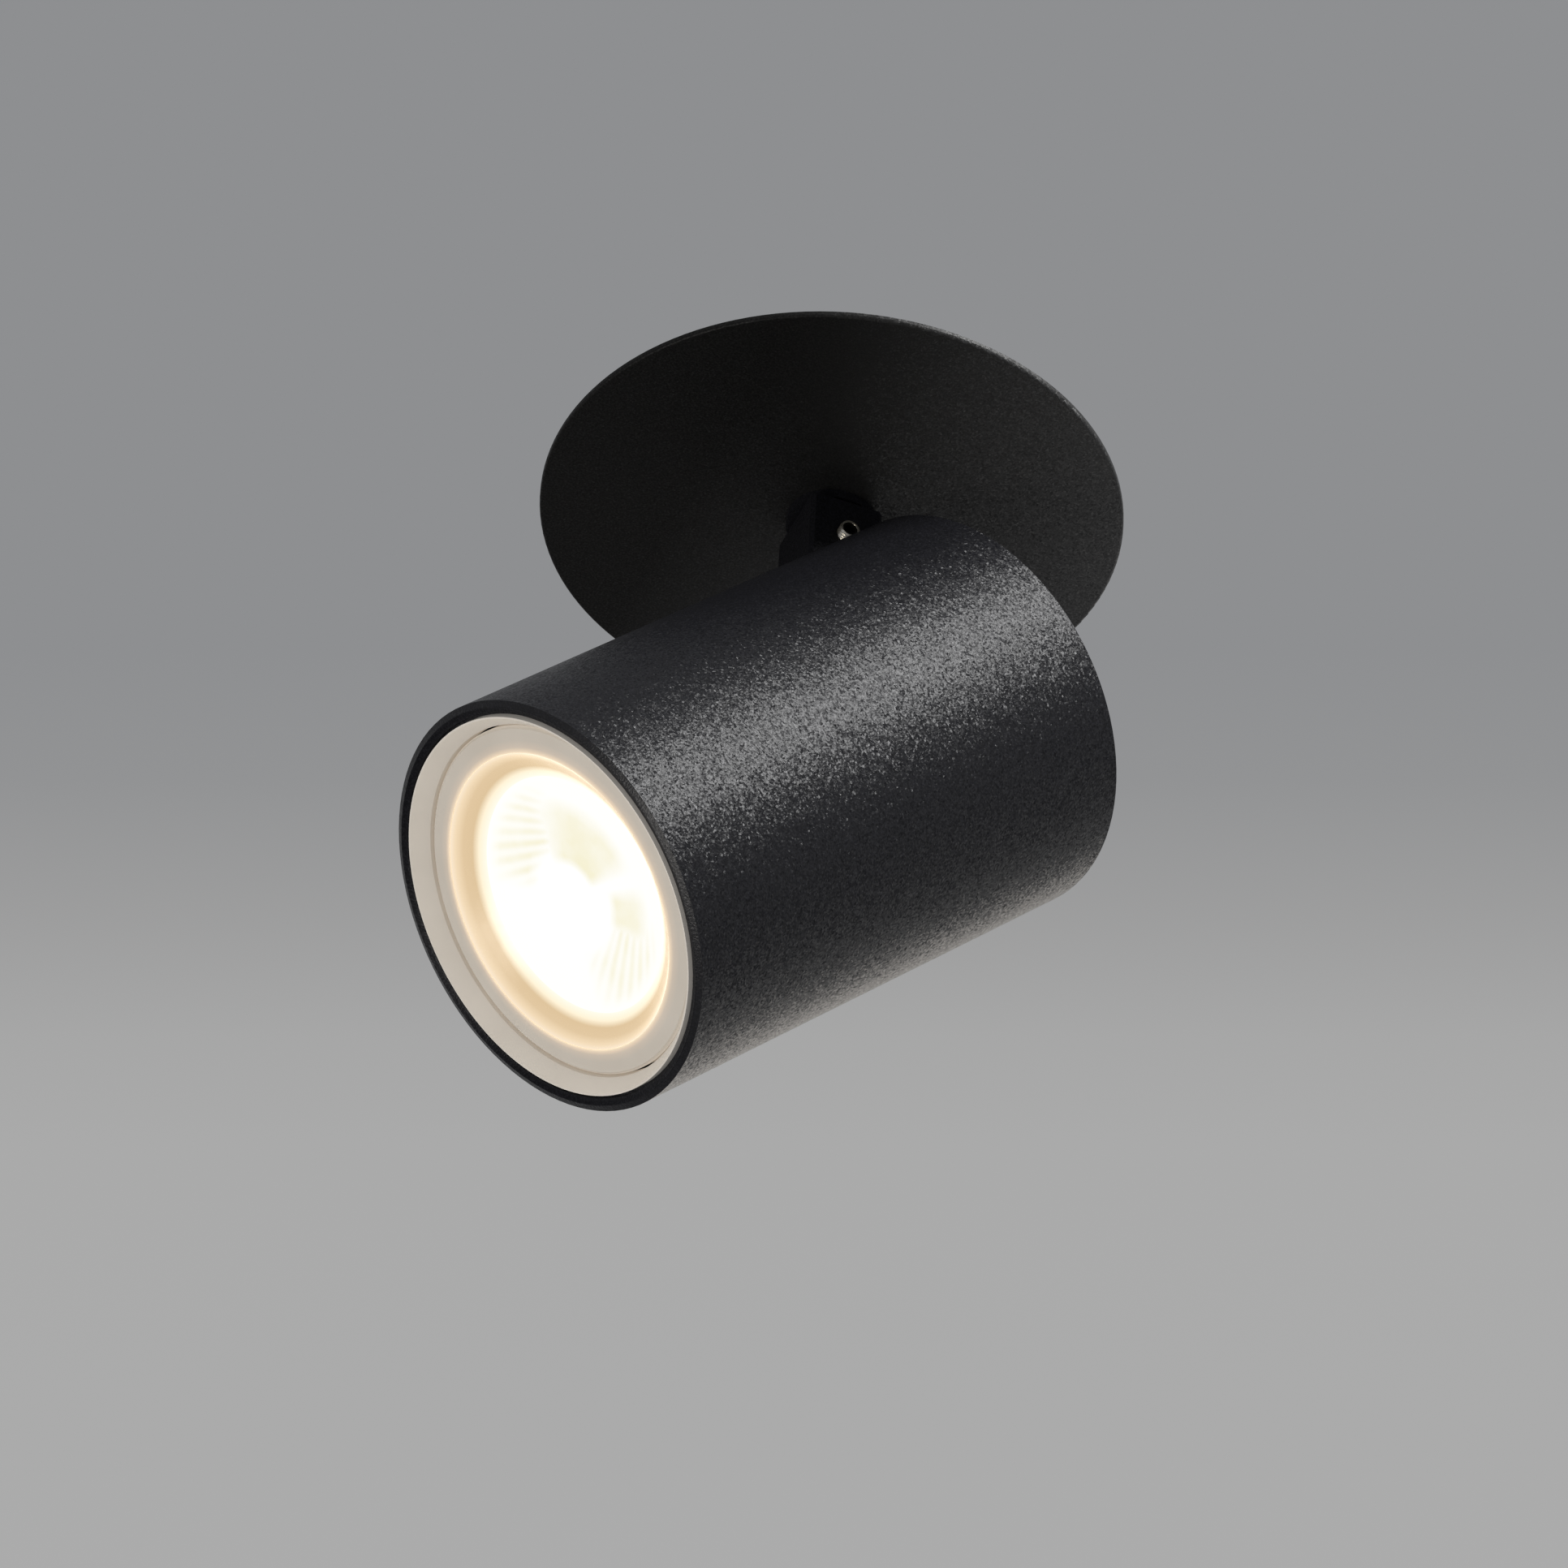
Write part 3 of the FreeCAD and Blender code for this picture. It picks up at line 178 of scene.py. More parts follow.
class Bench:
    """Moves of hand modelling, each made with Blender's own operators."""

    # Turn of an edge, in degrees, from which round stock stays sharp
    STOCK_CORNER = 50.0
    # Steps round a cord and between two of its points
    CORD_ROUND = 5
    CORD_STEPS = 14

    @staticmethod
    def clear() -> None:
        """Leave edit mode and deselect everything."""
        if bpy.context.object is not None and bpy.context.object.mode != "OBJECT":
            bpy.ops.object.mode_set(mode="OBJECT")
        bpy.ops.object.select_all(action="DESELECT")

    @staticmethod
    def pick(obj: Piece) -> None:
        """Select one object alone and make it active."""
        Bench.clear()
        obj.select_set(True)
        bpy.context.view_layer.objects.active = obj

    @staticmethod
    def edit(obj: Piece) -> None:
        """Open one object in edit mode with nothing else selected."""
        Bench.pick(obj)
        bpy.ops.object.mode_set(mode="EDIT")

    @staticmethod
    def turned(name: str, outline: Outline, segments: int) -> Piece:
        """Turn a piece about Z by extruding a circle from ring to ring.

        Args:
            name: Name of the piece.
            outline: Pairs of radius and height. A radius of 0 closes the piece at a pole.
            segments: Sides of the circle.

        Returns:
            The piece with its ends filled, at the origin.
        """
        Bench.clear()
        radius, height = outline[0]
        bpy.ops.mesh.primitive_circle_add(vertices=segments, radius=radius, location=(0.0, 0.0, height))
        obj = bpy.context.object
        obj.name = name
        bpy.ops.object.transform_apply(location=True, rotation=True, scale=True)
        bpy.ops.object.mode_set(mode="EDIT")
        bpy.ops.mesh.select_mode(type="EDGE")
        bpy.ops.mesh.select_all(action="SELECT")
        for next_radius, next_height in outline[1:]:
            rise = (0.0, 0.0, next_height - height)
            bpy.ops.mesh.extrude_region_move(TRANSFORM_OT_translate={"value": rise})
            if next_radius == 0.0:
                bpy.ops.mesh.merge(type="CENTER")
                break
            share = next_radius / radius
            bpy.ops.transform.resize(value=(share, share, 1.0), center_override=(0.0, 0.0, next_height))
            radius, height = next_radius, next_height
        bpy.ops.mesh.select_all(action="DESELECT")
        bpy.ops.mesh.select_non_manifold()
        bpy.ops.mesh.fill_holes(sides=0)
        Bench.face_outwards()
        bpy.ops.object.mode_set(mode="OBJECT")
        return obj

    @staticmethod
    def drawn(name: str, points: Outline) -> Piece:
        """Draw an open line in the XZ plane by extruding one vertex from point to point.

        Args:
            name: Name of the piece.
            points: Pairs of X and Z.

        Returns:
            The line, at the origin.
        """
        Bench.clear()
        bpy.ops.mesh.primitive_plane_add(size=points[0][0], location=(points[0][0], 0.0, points[0][1]))
        obj = bpy.context.object
        obj.name = name
        bpy.ops.object.transform_apply(location=True, rotation=True, scale=True)
        bpy.ops.object.mode_set(mode="EDIT")
        bpy.ops.mesh.select_mode(type="VERT")
        bpy.ops.mesh.select_all(action="SELECT")
        bpy.ops.mesh.merge(type="CENTER")
        for (x, z), (next_x, next_z) in zip(points, points[1:]):
            step = (next_x - x, 0.0, next_z - z)
            bpy.ops.mesh.extrude_vertices_move(TRANSFORM_OT_translate={"value": step})
        bpy.ops.object.mode_set(mode="OBJECT")
        return obj

    @staticmethod
    def threaded(name: str, outline: Outline, thread: Thread) -> Piece:
        """Cut a screw thread on a turned piece.

        Args:
            name: Name of the piece.
            outline: Pairs of radius and height that bound the piece, from the bottom up.
            thread: The thread.

        Returns:
            The threaded piece, along Z at the origin.
        """
        pitch, sides = thread.pitch, thread.sides
        low, high = outline[0][1], outline[-1][1]
        crest = max(radius for radius, _ in outline)
        obj = Bench.drawn(name, thread.profile(crest, low - thread.lead_in * pitch))
        turns = math.ceil((high - low) / pitch) + thread.spare_turns
        Bench.modify(obj, "SCREW", axis="Z", angle=2.0 * math.pi, screw_offset=pitch, iterations=turns, steps=sides,
                     render_steps=sides, use_merge_vertices=True, merge_threshold=TURN_WELD)
        Bench.edit(obj)
        Bench.face_outwards()
        spare = thread.spare * pitch
        for height, side in ((low - spare, -1.0), (high + spare, 1.0)):
            bpy.ops.mesh.select_all(action="SELECT")
            bpy.ops.mesh.bisect(plane_co=(0.0, 0.0, height), plane_no=(0.0, 0.0, side), use_fill=True,
                                clear_outer=True, threshold=CUT_SLACK)
        Bench.face_outwards()
        bound = Bench.turned("thread_bound", outline, sides)
        Bench.modify(obj, "BOOLEAN", operation="INTERSECT", object=bound, solver="EXACT")
        bpy.data.objects.remove(bound)
        return obj

    @staticmethod
    def cord(name: str, routes: list[list[Vector]], radius: float) -> Piece:
        """Round cords along smooth curves.

        Args:
            name: Name of the piece.
            routes: Control points of each cord.
            radius: Radius of a cord.

        Returns:
            The cords as one mesh.
        """
        Bench.clear()
        curve = bpy.data.curves.new(name, "CURVE")
        curve.dimensions = "3D"
        curve.bevel_depth = radius
        curve.bevel_resolution = Bench.CORD_ROUND
        curve.resolution_u = Bench.CORD_STEPS
        curve.use_fill_caps = True
        for route in routes:
            spline = curve.splines.new("NURBS")
            spline.points.add(len(route) - 1)
            for point, place in zip(spline.points, route):
                point.co = (*place, 1.0)
            spline.order_u = 3
            spline.use_endpoint_u = True
        obj = bpy.data.objects.new(name, curve)
        bpy.context.collection.objects.link(obj)
        Bench.pick(obj)
        bpy.ops.object.convert(target="MESH")
        Bench.edit(obj)
        Bench.face_outwards()
        Bench.smooth(obj, Bench.STOCK_CORNER)
        return obj

    @staticmethod
    def open_rim(obj: Piece, low: bool) -> None:
        """Select the open rim at one end of a piece that is in edit mode.

        Args:
            obj: Piece with two open ends along Z.
            low: Whether the lower end is wanted.
        """
        bpy.ops.mesh.select_mode(type="VERT")
        bpy.ops.mesh.select_all(action="DESELECT")
        bpy.ops.mesh.select_non_manifold()
        bpy.ops.object.mode_set(mode="OBJECT")
        for vertex in obj.data.vertices:
            vertex.select = vertex.select and (vertex.co.z < 0.0) == low
        bpy.ops.object.mode_set(mode="EDIT")

    @staticmethod
    def face_outwards() -> None:
        """Merge doubles and turn every face of the open mesh outwards."""
        bpy.ops.mesh.select_all(action="SELECT")
        bpy.ops.mesh.remove_doubles(threshold=POINT_WELD)
        bpy.ops.mesh.normals_make_consistent(inside=False)

    @staticmethod
    def modify(obj: Piece, kind: str, **settings: object) -> None:
        """Add one modifier and apply it.

        Args:
            obj: Piece to change.
            kind: Blender's name of the modifier.
            settings: Values of the modifier.
        """
        Bench.pick(obj)
        modifier = obj.modifiers.new(kind.title(), kind)
        for key, value in settings.items():
            setattr(modifier, key, value)
        bpy.ops.object.modifier_apply(modifier=modifier.name)

    @staticmethod
    def carve(obj: Piece, tool: Piece) -> None:
        """Cut one piece out of another and remove the tool."""
        Bench.modify(obj, "BOOLEAN", operation="DIFFERENCE", object=tool, solver="EXACT")
        bpy.data.objects.remove(tool)

    @staticmethod
    def smooth(obj: Piece, corner: float) -> None:
        """Shade a piece smooth, with edges that turn by more degrees than the corner left sharp."""
        Bench.pick(obj)
        bpy.ops.object.shade_smooth_by_angle(angle=math.radians(corner))

    @staticmethod
    def place(obj: Piece, where: Matrix) -> None:
        """Move a piece into the world and keep its place in its mesh."""
        Bench.pick(obj)
        obj.matrix_world = where
        bpy.ops.object.transform_apply(location=True, rotation=True, scale=True)


# Finishes


class Tree:
    """A node tree, with short ways to add and join nodes."""

    def __init__(self, tree: bpy.types.NodeTree) -> None:
        """Take up a node tree."""
        self.tree = tree

    def give(self, target: Socket, value: Value) -> None:
        """Join a socket to another one, or set it to a constant."""
        if isinstance(value, Socket):
            self.tree.links.new(value, target)
        else:
            target.default_value = value

    def put(self, kind: str, values: dict[str | int, Value], **settings: object) -> bpy.types.Node:
        """Add a node, set its properties and give its sockets their values.

        Args:
            kind: Blender's class name of the node.
            values: Value of each socket, by the socket's name or place.
            settings: Properties of the node.

        Returns:
            The node.
        """
        node = self.tree.nodes.new(kind)
        for key, value in settings.items():
            setattr(node, key, value)
        for key, value in values.items():
            self.give(node.inputs[key], value)
        return node

    def maths(self, operation: str, *values: Value) -> Socket:
        """Number that an operation makes of its values.

        Args:
            operation: Blender's name of the operation.
            values: Its values, as sockets or numbers.

        Returns:
            Socket with the result.
        """
        return self.put("ShaderNodeMath", dict(enumerate(values)), operation=operation).outputs["Value"]

    def vector(self, operation: str, *values: Value) -> Socket:
        """Vector that an operation makes of its values.

        Args:
            operation: Blender's name of the operation.
            values: Its values, as sockets or constant vectors.

        Returns:
            Socket with the result.
        """
        return self.put("ShaderNodeVectorMath", dict(enumerate(values)), operation=operation).outputs["Vector"]

    def ramp(self, value: Socket, stops: Stops) -> Socket:
        """Colours along a value.

        Args:
            value: Where on the ramp a point lies.
            stops: Pairs of place and colour, in order.

        Returns:
            Socket with the colour.
        """
        node = self.put("ShaderNodeValToRGB", {"Fac": value})
        elements = node.color_ramp.elements
        while len(elements) < len(stops):
            elements.new(1.0)
        for element, (place, colour) in zip(elements, stops):
            element.position = place
            element.color = (*colour, 1.0)
        return node.outputs["Color"]

    def spread(self, value: Socket, low: float, high: float, to_low: float = 0.0, to_high: float = 1.0) -> Socket:
        """Map a value from one range to another, clamped.

        Args:
            value: Value to map.
            low: Start of its range.
            high: End of its range.
            to_low: What the start becomes.
            to_high: What the end becomes.

        Returns:
            Socket with the mapped value.
        """
        ranges = {"From Min": low, "From Max": high, "To Min": to_low, "To Max": to_high}
        return self.put("ShaderNodeMapRange", {"Value": value, **ranges}).outputs["Result"]


class Sketch(Tree):
    """A material's node tree, round one principled shader."""

    def __init__(self, name: str) -> None:
        """Start a material with one principled shader."""
        self.material = bpy.data.materials.new(name)
        self.material.use_nodes = True
        super().__init__(self.material.node_tree)
        self.shader = next(n for n in self.tree.nodes if n.type == "BSDF_PRINCIPLED")

    def set(self, **values: Value) -> None:
        """Give the shader's own sockets their values, with spaces written as underscores."""
        for key, value in values.items():
            self.give(self.shader.inputs[key.replace("_", " ")], value)

    def coords(self, where: Matrix | None = None, stretch: Triple | None = None) -> Socket:
        """Object coordinates, measured in a frame of the part.

        Args:
            where: Frame to measure in, or the part's own.
            stretch: Scale along each axis of that frame, where there is one.

        Returns:
            Socket with the point.
        """
        inverse = (where or Matrix.Identity(4)).inverted()
        point = self.put("ShaderNodeTexCoord", {}).outputs["Object"]
        place = {"Vector": point, "Location": inverse.to_translation(), "Rotation": inverse.to_euler()}
        moved = self.put("ShaderNodeMapping", place).outputs["Vector"]
        return moved if stretch is None else self.vector("MULTIPLY", moved, stretch)

    def axis(self, point: Socket, name: str) -> Socket:
        """One coordinate of a point, by its letter."""
        return self.put("ShaderNodeSeparateXYZ", {"Vector": point}).outputs[name]

    def radial(self) -> Socket:
        """Distance from the lamp's axis."""
        flat = self.coords(LAYOUT.head(), (1.0, 1.0, 0.0))
        return self.put("ShaderNodeVectorMath", {0: flat}, operation="LENGTH").outputs["Value"]

    def around(self, where: Matrix) -> Socket:
        """Turn about the Z axis of a frame, from 0 to 1."""
        point = self.coords(where)
        return self.put("ShaderNodeTexGradient", {"Vector": point}, gradient_type="RADIAL").outputs["Fac"]

    def noise(self, point: Socket, scale: float, detail: float = 2.0) -> Socket:
        """Noise of a number of blobs to the metre, from 0 to 1."""
        return self.put("ShaderNodeTexNoise", {"Vector": point, "Scale": scale, "Detail": detail}).outputs["Fac"]

    def cells(self, point: Socket, scale: float) -> bpy.types.Node:
        """Cells round a number of grains to the metre, with their distances and random colours."""
        return self.put("ShaderNodeTexVoronoi", {"Vector": point, "Scale": scale})

    def blend(self, share: Socket, first: Socket, second: Socket) -> Socket:
        """Mix two colours by a share.

        Args:
            share: 0 for the first colour, 1 for the second.
            first: First colour.
            second: Second colour.

        Returns:
            Socket with the mixed colour.
        """
        # A mix node has its sockets for colours after those for numbers and vectors
        return self.put("ShaderNodeMix", {0: share, 6: first, 7: second}, data_type="RGBA").outputs[2]

    def bump(self, height: Socket, strength: float, depth: float) -> None:
        """Raise the surface by a height.

        Args:
            height: Height from 0 to 1.
            strength: Share of the effect.
            depth: Depth of a height of 1.
        """
        node = self.put("ShaderNodeBump", {"Height": height, "Strength": strength, "Distance": depth})
        self.set(Normal=node.outputs["Normal"])

    def lean(self, point: Socket, size: float, tilt: float, share: Socket | None = None) -> None:
        """Lean the bumped surface at random from grain to grain, most grains a little and a few a lot.

        Args:
            point: Where the grains lie.
            size: Size of a grain.
            tilt: Strength of the lean.
            share: Share of the lean that shows at a point, where it isn't the same all over.
        """
        off = self.vector("SUBTRACT", self.cells(point, 1.0 / size).outputs["Color"], (0.5, 0.5, 0.5))
        rare = self.vector("MULTIPLY", off, self.vector("ABSOLUTE", off))
        amount = (tilt, tilt, tilt) if share is None else self.maths("MULTIPLY", share, tilt)
        bumped = self.shader.inputs["Normal"].links[0].from_socket
        self.set(Normal=self.vector("NORMALIZE", self.vector("MULTIPLY_ADD", rare, amount, bumped)))


_made: dict[str, bpy.types.Material] = {}


@dataclass(frozen=True)
class Finish:
    """A surface finish, made into a material the first time that it is asked for."""

    name: str
    slot: str

    def material(self) -> bpy.types.Material:
        """The finish's material."""
        if self.name not in _made:
            sketch = Sketch(self.name)
            self.draw(sketch)
            _made[self.name] = sketch.material
        return _made[self.name]

    def draw(self, sketch: Sketch) -> None:
        """Fill in the node tree."""
        raise NotImplementedError

    def dress(self, obj: Piece) -> None:
        """Give the finish to every face of a piece."""
        if not obj.material_slots:
            obj.data.materials.append(self.material())
        for held in obj.material_slots:
            held.material = self.material()


@dataclass(frozen=True)
class PowderCoat(Finish):
    """Fine textured coating with a sparkling grain."""

    tone: Colour = (0.005, 0.005, 0.0066)
    fleck: Colour = (0.015, 0.015, 0.0182)
    fleck_span: Span = (0.42, 0.72)
    grain: float = 0.3 * MM
    pits: float = 0.8
    pit_reach: float = 0.7
    pit_floor: float = 0.45
    depth: float = 0.09 * MM
    strength: float = 0.55
    roughness: Span = (0.3, 0.44)
    tilt: float = 0.95
    sheen: float = 0.29

    def draw(self, sketch: Sketch) -> None:
        """Grain in height, colour, gloss and lean."""
        point = sketch.coords()
        fine = sketch.noise(point, 1.0 / self.grain, detail=1.0)
        pits = sketch.cells(point, self.pits / self.grain).outputs["Distance"]
        height = sketch.maths("MULTIPLY", fine, sketch.spread(pits, 0.0, self.pit_reach, self.pit_floor, 1.0))
        colour = sketch.ramp(fine, tuple(zip(self.fleck_span, (self.tone, self.fleck))))
        gloss = sketch.spread(fine, *NOISE_SPAN, *reversed(self.roughness))
        sketch.set(Base_Color=colour, Roughness=gloss, Specular_IOR_Level=self.sheen)
        sketch.bump(height, self.strength, self.depth)
        sketch.lean(point, self.grain, self.tilt, self.shown(sketch))

    def shown(self, sketch: Sketch) -> Socket | None:
        """Share of the grain's lean that shows at a point, or None where it is the same all over."""
        return None


@dataclass(frozen=True)
class TubeCoat(PowderCoat):
    """Coating of the tube, smooth over its turned front rim and with less sheen on the rim's inner slope as painted
    shade.
    """

    rim: float = 72.1 * MM
    fade: float = 0.5 * MM
    crest: Span = (28.95 * MM, 29.2 * MM)
    painted_shade_sheen: float = 0.08

    def draw(self, sketch: Sketch) -> None:
        """Grain, with less sheen on the inner slope of the rim as painted shade."""
        super().draw(sketch)
        # Painted shade: a lower specular level darkens the rim's inner slope like a shaded recess
        outside = sketch.spread(sketch.radial(), *self.crest)
        plain = sketch.maths("MAXIMUM", outside, self.shown(sketch))
        sketch.set(Specular_IOR_Level=sketch.spread(plain, 0.0, 1.0, self.painted_shade_sheen, self.sheen))

    def shown(self, sketch: Sketch) -> Socket:
        """Full lean along the tube, and none on the rim."""
        along = sketch.axis(sketch.coords(LAYOUT.head()), "Z")
        return sketch.spread(along, self.rim - self.fade, self.rim, 1.0, 0.0)


@dataclass(frozen=True)
class PlateCoat(PowderCoat):
    """Coating of the plate, with a painted sheen that grows towards one side so that side reads lighter."""

    painted_far_sheen: float = 1.0
    near: float = -21.0 * MM
    far: float = 42.0 * MM

    def draw(self, sketch: Sketch) -> None:
        """Grain as on the tube, with a painted sheen that grows along X."""
        super().draw(sketch)
        across = sketch.axis(sketch.coords(), "X")
        # Painted reflection: the specular level rises along X so one side of the plate reads lighter, as if lit more
        # there
        sketch.set(Specular_IOR_Level=sketch.spread(across, self.near, self.far, self.sheen, self.painted_far_sheen))


@dataclass(frozen=True)
class PlatedMetal(Finish):
    """Plated or turned metal with faint streaks and a cloudy gloss."""

    tone: Colour = (0.56, 0.56, 0.55)
    shade: Colour = (0.46, 0.46, 0.45)
    clouds: float = 350.0
    cloud_span: Span = (0.35, 0.65)
    roughness: Span = (0.24, 0.4)
    streak: float = 0.25 * MM
    streak_stretch: Triple = (0.06, 1.0, 1.0)
    streak_span: Span = (0.25, 0.75)
    depth: float = 0.02 * MM
    strength: float = 0.12

    def draw(self, sketch: Sketch) -> None:
        """Streaks along X over a cloudy plating."""
        cloud = sketch.noise(sketch.coords(), self.clouds, detail=4.0)
        lines = sketch.noise(sketch.coords(stretch=self.streak_stretch), 1.0 / self.streak)
        colour = sketch.ramp(cloud, tuple(zip(self.cloud_span, (self.shade, self.tone))))
        gloss = sketch.spread(lines, *self.streak_span, *self.roughness)
        sketch.set(Metallic=1.0, Base_Color=colour, Roughness=gloss)
        sketch.bump(lines, self.strength, self.depth)


@dataclass(frozen=True)
class Moulded(Finish):
    """Moulded plastic, rubber or ceramic with a fine spark texture."""

    tone: Colour = (0.74, 0.73, 0.7)
    shade: Colour = (0.68, 0.66, 0.62)
    clouds: float = 90.0
    cloud_detail: float = 3.0
    roughness: Span = (0.38, 0.52)
    grain: float = 0.3 * MM
    depth: float = 0.01 * MM
    strength: float = 0.3

    def draw(self, sketch: Sketch) -> None:
        """Slow change of tone over a fine texture."""
        point = sketch.coords()
        slow = sketch.noise(point, self.clouds, self.cloud_detail)
        fine = sketch.noise(point, 1.0 / self.grain)
        colour = sketch.ramp(slow, tuple(zip(NOISE_SPAN, (self.shade, self.tone))))
        sketch.set(Base_Color=colour, Roughness=sketch.spread(fine, *NOISE_SPAN, *self.roughness))
        sketch.bump(fine, self.strength, self.depth)


@dataclass(frozen=True)
class StripedSleeve(Finish):
    """Silicone sleeve striped in two colours."""

    first: Colour = (0.09, 0.3, 0.06)
    second: Colour = (0.72, 0.56, 0.05)
    stripes: float = 210.0
    edge: Span = (0.55, 0.62)
    grains: float = 2500.0
    roughness: Span = (0.4, 0.55)

    def draw(self, sketch: Sketch) -> None:
        """Slanting stripes with a soft gloss."""
        point = sketch.coords()
        wave = sketch.put("ShaderNodeTexWave", {"Vector": point, "Scale": self.stripes}, wave_type="BANDS",
                          bands_direction="DIAGONAL")
        colour = sketch.ramp(wave.outputs["Fac"], tuple(zip(self.edge, (self.first, self.second))))
        fine = sketch.noise(point, self.grains)
        sketch.set(Base_Color=colour, Roughness=sketch.spread(fine, *NOISE_SPAN, *self.roughness))


@dataclass(frozen=True)
class PaleRing(Moulded):
    """Pale satin plastic round the lamp, with painted light: a glow by the lens and a faint lift over the joint."""

    tone: Colour = (0.74, 0.69, 0.615)
    shade: Colour = (0.7, 0.65, 0.575)
    clouds: float = 120.0
    cloud_detail: float = 2.0
    roughness: Span = (0.42, 0.55)
    grain: float = 0.3125 * MM
    strength: float = 0.15
    inner: float = 21.7 * MM
    outer: float = 26.7 * MM
    # Painted light: emission standing for lamp light, bright by the lens and fading, then a faint even lift from the
    # joint outwards
    glow: Stops = (
        (0.0, (0.5, 0.36, 0.2)), (0.056, (0.3, 0.2, 0.1)), (0.16, (0.1, 0.06, 0.03)),
        (0.36, (0.02, 0.014, 0.008)), (0.7, (0.0, 0.0, 0.0)), (0.75, (0.1, 0.088, 0.075)),
        (0.825, (0.1, 0.088, 0.075)), (0.87, (0.1, 0.095, 0.088)),
    )

    def draw(self, sketch: Sketch) -> None:
        """Fine texture, and a painted glow by the distance from the lamp's axis."""
        super().draw(sketch)
        glow = sketch.ramp(sketch.spread(sketch.radial(), self.inner, self.outer), self.glow)
        sketch.set(Emission_Color=glow, Emission_Strength=1.0)


@dataclass(frozen=True)
class LitBevel(Finish):
    """Edge of the lens, lit from inside to a warm amber."""

    tone: Colour = (0.05, 0.045, 0.035)
    sheen: float = 0.3
    grains: float = 900.0
    roughness: Span = (0.2, 0.3)
    inner: float = LAYOUT.window
    outer: float = LAYOUT.lens_edge
    glow: Stops = (
        (0.0, (1.0, 0.95, 0.82)), (0.22, (0.98, 0.87, 0.66)), (0.42, (0.7, 0.52, 0.31)),
        (0.68, (0.72, 0.54, 0.33)), (0.88, (0.86, 0.68, 0.46)), (1.0, (0.93, 0.78, 0.6)),
    )

    def draw(self, sketch: Sketch) -> None:
        """Glow from the window's edge to the rim, by the distance from the lamp's axis."""
        glow = sketch.ramp(sketch.spread(sketch.radial(), self.inner, self.outer), self.glow)
        grain = sketch.noise(sketch.coords(), self.grains)
        sketch.set(Emission_Color=glow, Roughness=sketch.spread(grain, *NOISE_SPAN, *self.roughness))
        sketch.set(Base_Color=(*self.tone, 1.0), Emission_Strength=1.0, Specular_IOR_Level=self.sheen)


@dataclass(frozen=True)
class Sector:
    """Sector of the lamp's window, with the turns and the shares of the radius where it fades in and out."""

    turn: tuple[float, float, float, float]
    reach: tuple[float, float, float, float]

    def mask(self, sketch: Sketch, angle: Socket, far: Socket) -> Socket:
        """Mask of the sector, with soft edges.

        Args:
            sketch: Node tree to draw in.
            angle: Turn about the lamp's axis.
            far: Share of the window's radius.

        Returns:
            Socket with the mask.
        """
        none, full = (0.0, 0.0, 0.0), (1.0, 1.0, 1.0)
        sides = [sketch.ramp(value, tuple(zip(places, (none, full, full, none))))
                 for value, places in ((angle, self.turn), (far, self.reach))]
        return sketch.maths("MULTIPLY", *sides)


@dataclass(frozen=True)
class LitWindow(Finish):
    """Window of the lamp, lit to white, with sectors where the fluted bowl behind it shows cream."""

    tone: Colour = (0.02, 0.02, 0.018)
    white: Colour = (1.0, 0.995, 0.97)
    cream: Colour = (0.9, 0.855, 0.63)
    cream_from: float = 0.3
    sheen: float = 0.2
    roughness: Span = (0.12, 0.2)
    radius: float = LAYOUT.window
    throat: Triple = (20.6 * MM, -4.25 * MM, 0.0)
    flutes: int = 92
    flute_span: Span = (-0.9, 1.0)
    flute_floor: float = 0.36
    clouds: float = 260.0
    cloud_span: Span = (0.34, 0.62)
    cloud_floor: float = 0.75
    plain: tuple[Sector, Sector] = (Sector((0.43, 0.47, 0.62, 0.7), (0.26, 0.34, 0.7, 0.84)),
                                    Sector((0.29, 0.33, 0.38, 0.41), (0.44, 0.52, 0.74, 0.88)))
    fluted: tuple[Sector, Sector] = (Sector((0.64, 0.7, 0.83, 0.88), (0.36, 0.5, 0.84, 0.97)),
                                     Sector((0.13, 0.2, 0.3, 0.36), (0.46, 0.6, 0.88, 0.97)))

    def draw(self, sketch: Sketch) -> None:
        """White light, with cream in two plain sectors and two fluted ones."""
        angle = sketch.around(LAYOUT.head())
        far = sketch.spread(sketch.radial(), 0.0, self.radius)
        plain, fluted = (sketch.maths("MAXIMUM", *(sector.mask(sketch, angle, far) for sector in pair))
                         for pair in (self.plain, self.fluted))
        turn = sketch.around(LAYOUT.head() @ Matrix.Translation(self.throat))
        wave = sketch.maths("SINE", sketch.maths("MULTIPLY", turn, 2.0 * math.pi * self.flutes))
        ridge = sketch.spread(wave, *self.flute_span, self.flute_floor, 1.0)
        cloud = sketch.spread(sketch.noise(sketch.coords(), self.clouds), *self.cloud_span, self.cloud_floor, 1.0)
        both = sketch.maths("MAXIMUM", plain, sketch.maths("MULTIPLY", fluted, ridge))
        share = sketch.maths("MULTIPLY", both, cloud)
        halfway = tuple(0.5 * (a + b) for a, b in zip(self.white, self.cream))
        white = sketch.ramp(far, ((0.0, (1.0, 1.0, 1.0)), (1.0, self.white)))
        cream = sketch.ramp(far, ((self.cream_from, self.cream), (1.0, halfway)))
        gloss = sketch.spread(cloud, 0.0, 1.0, *self.roughness)
        sketch.set(Emission_Color=sketch.blend(share, white, cream), Roughness=gloss)
        sketch.set(Base_Color=(*self.tone, 1.0), Emission_Strength=1.0, Specular_IOR_Level=self.sheen)


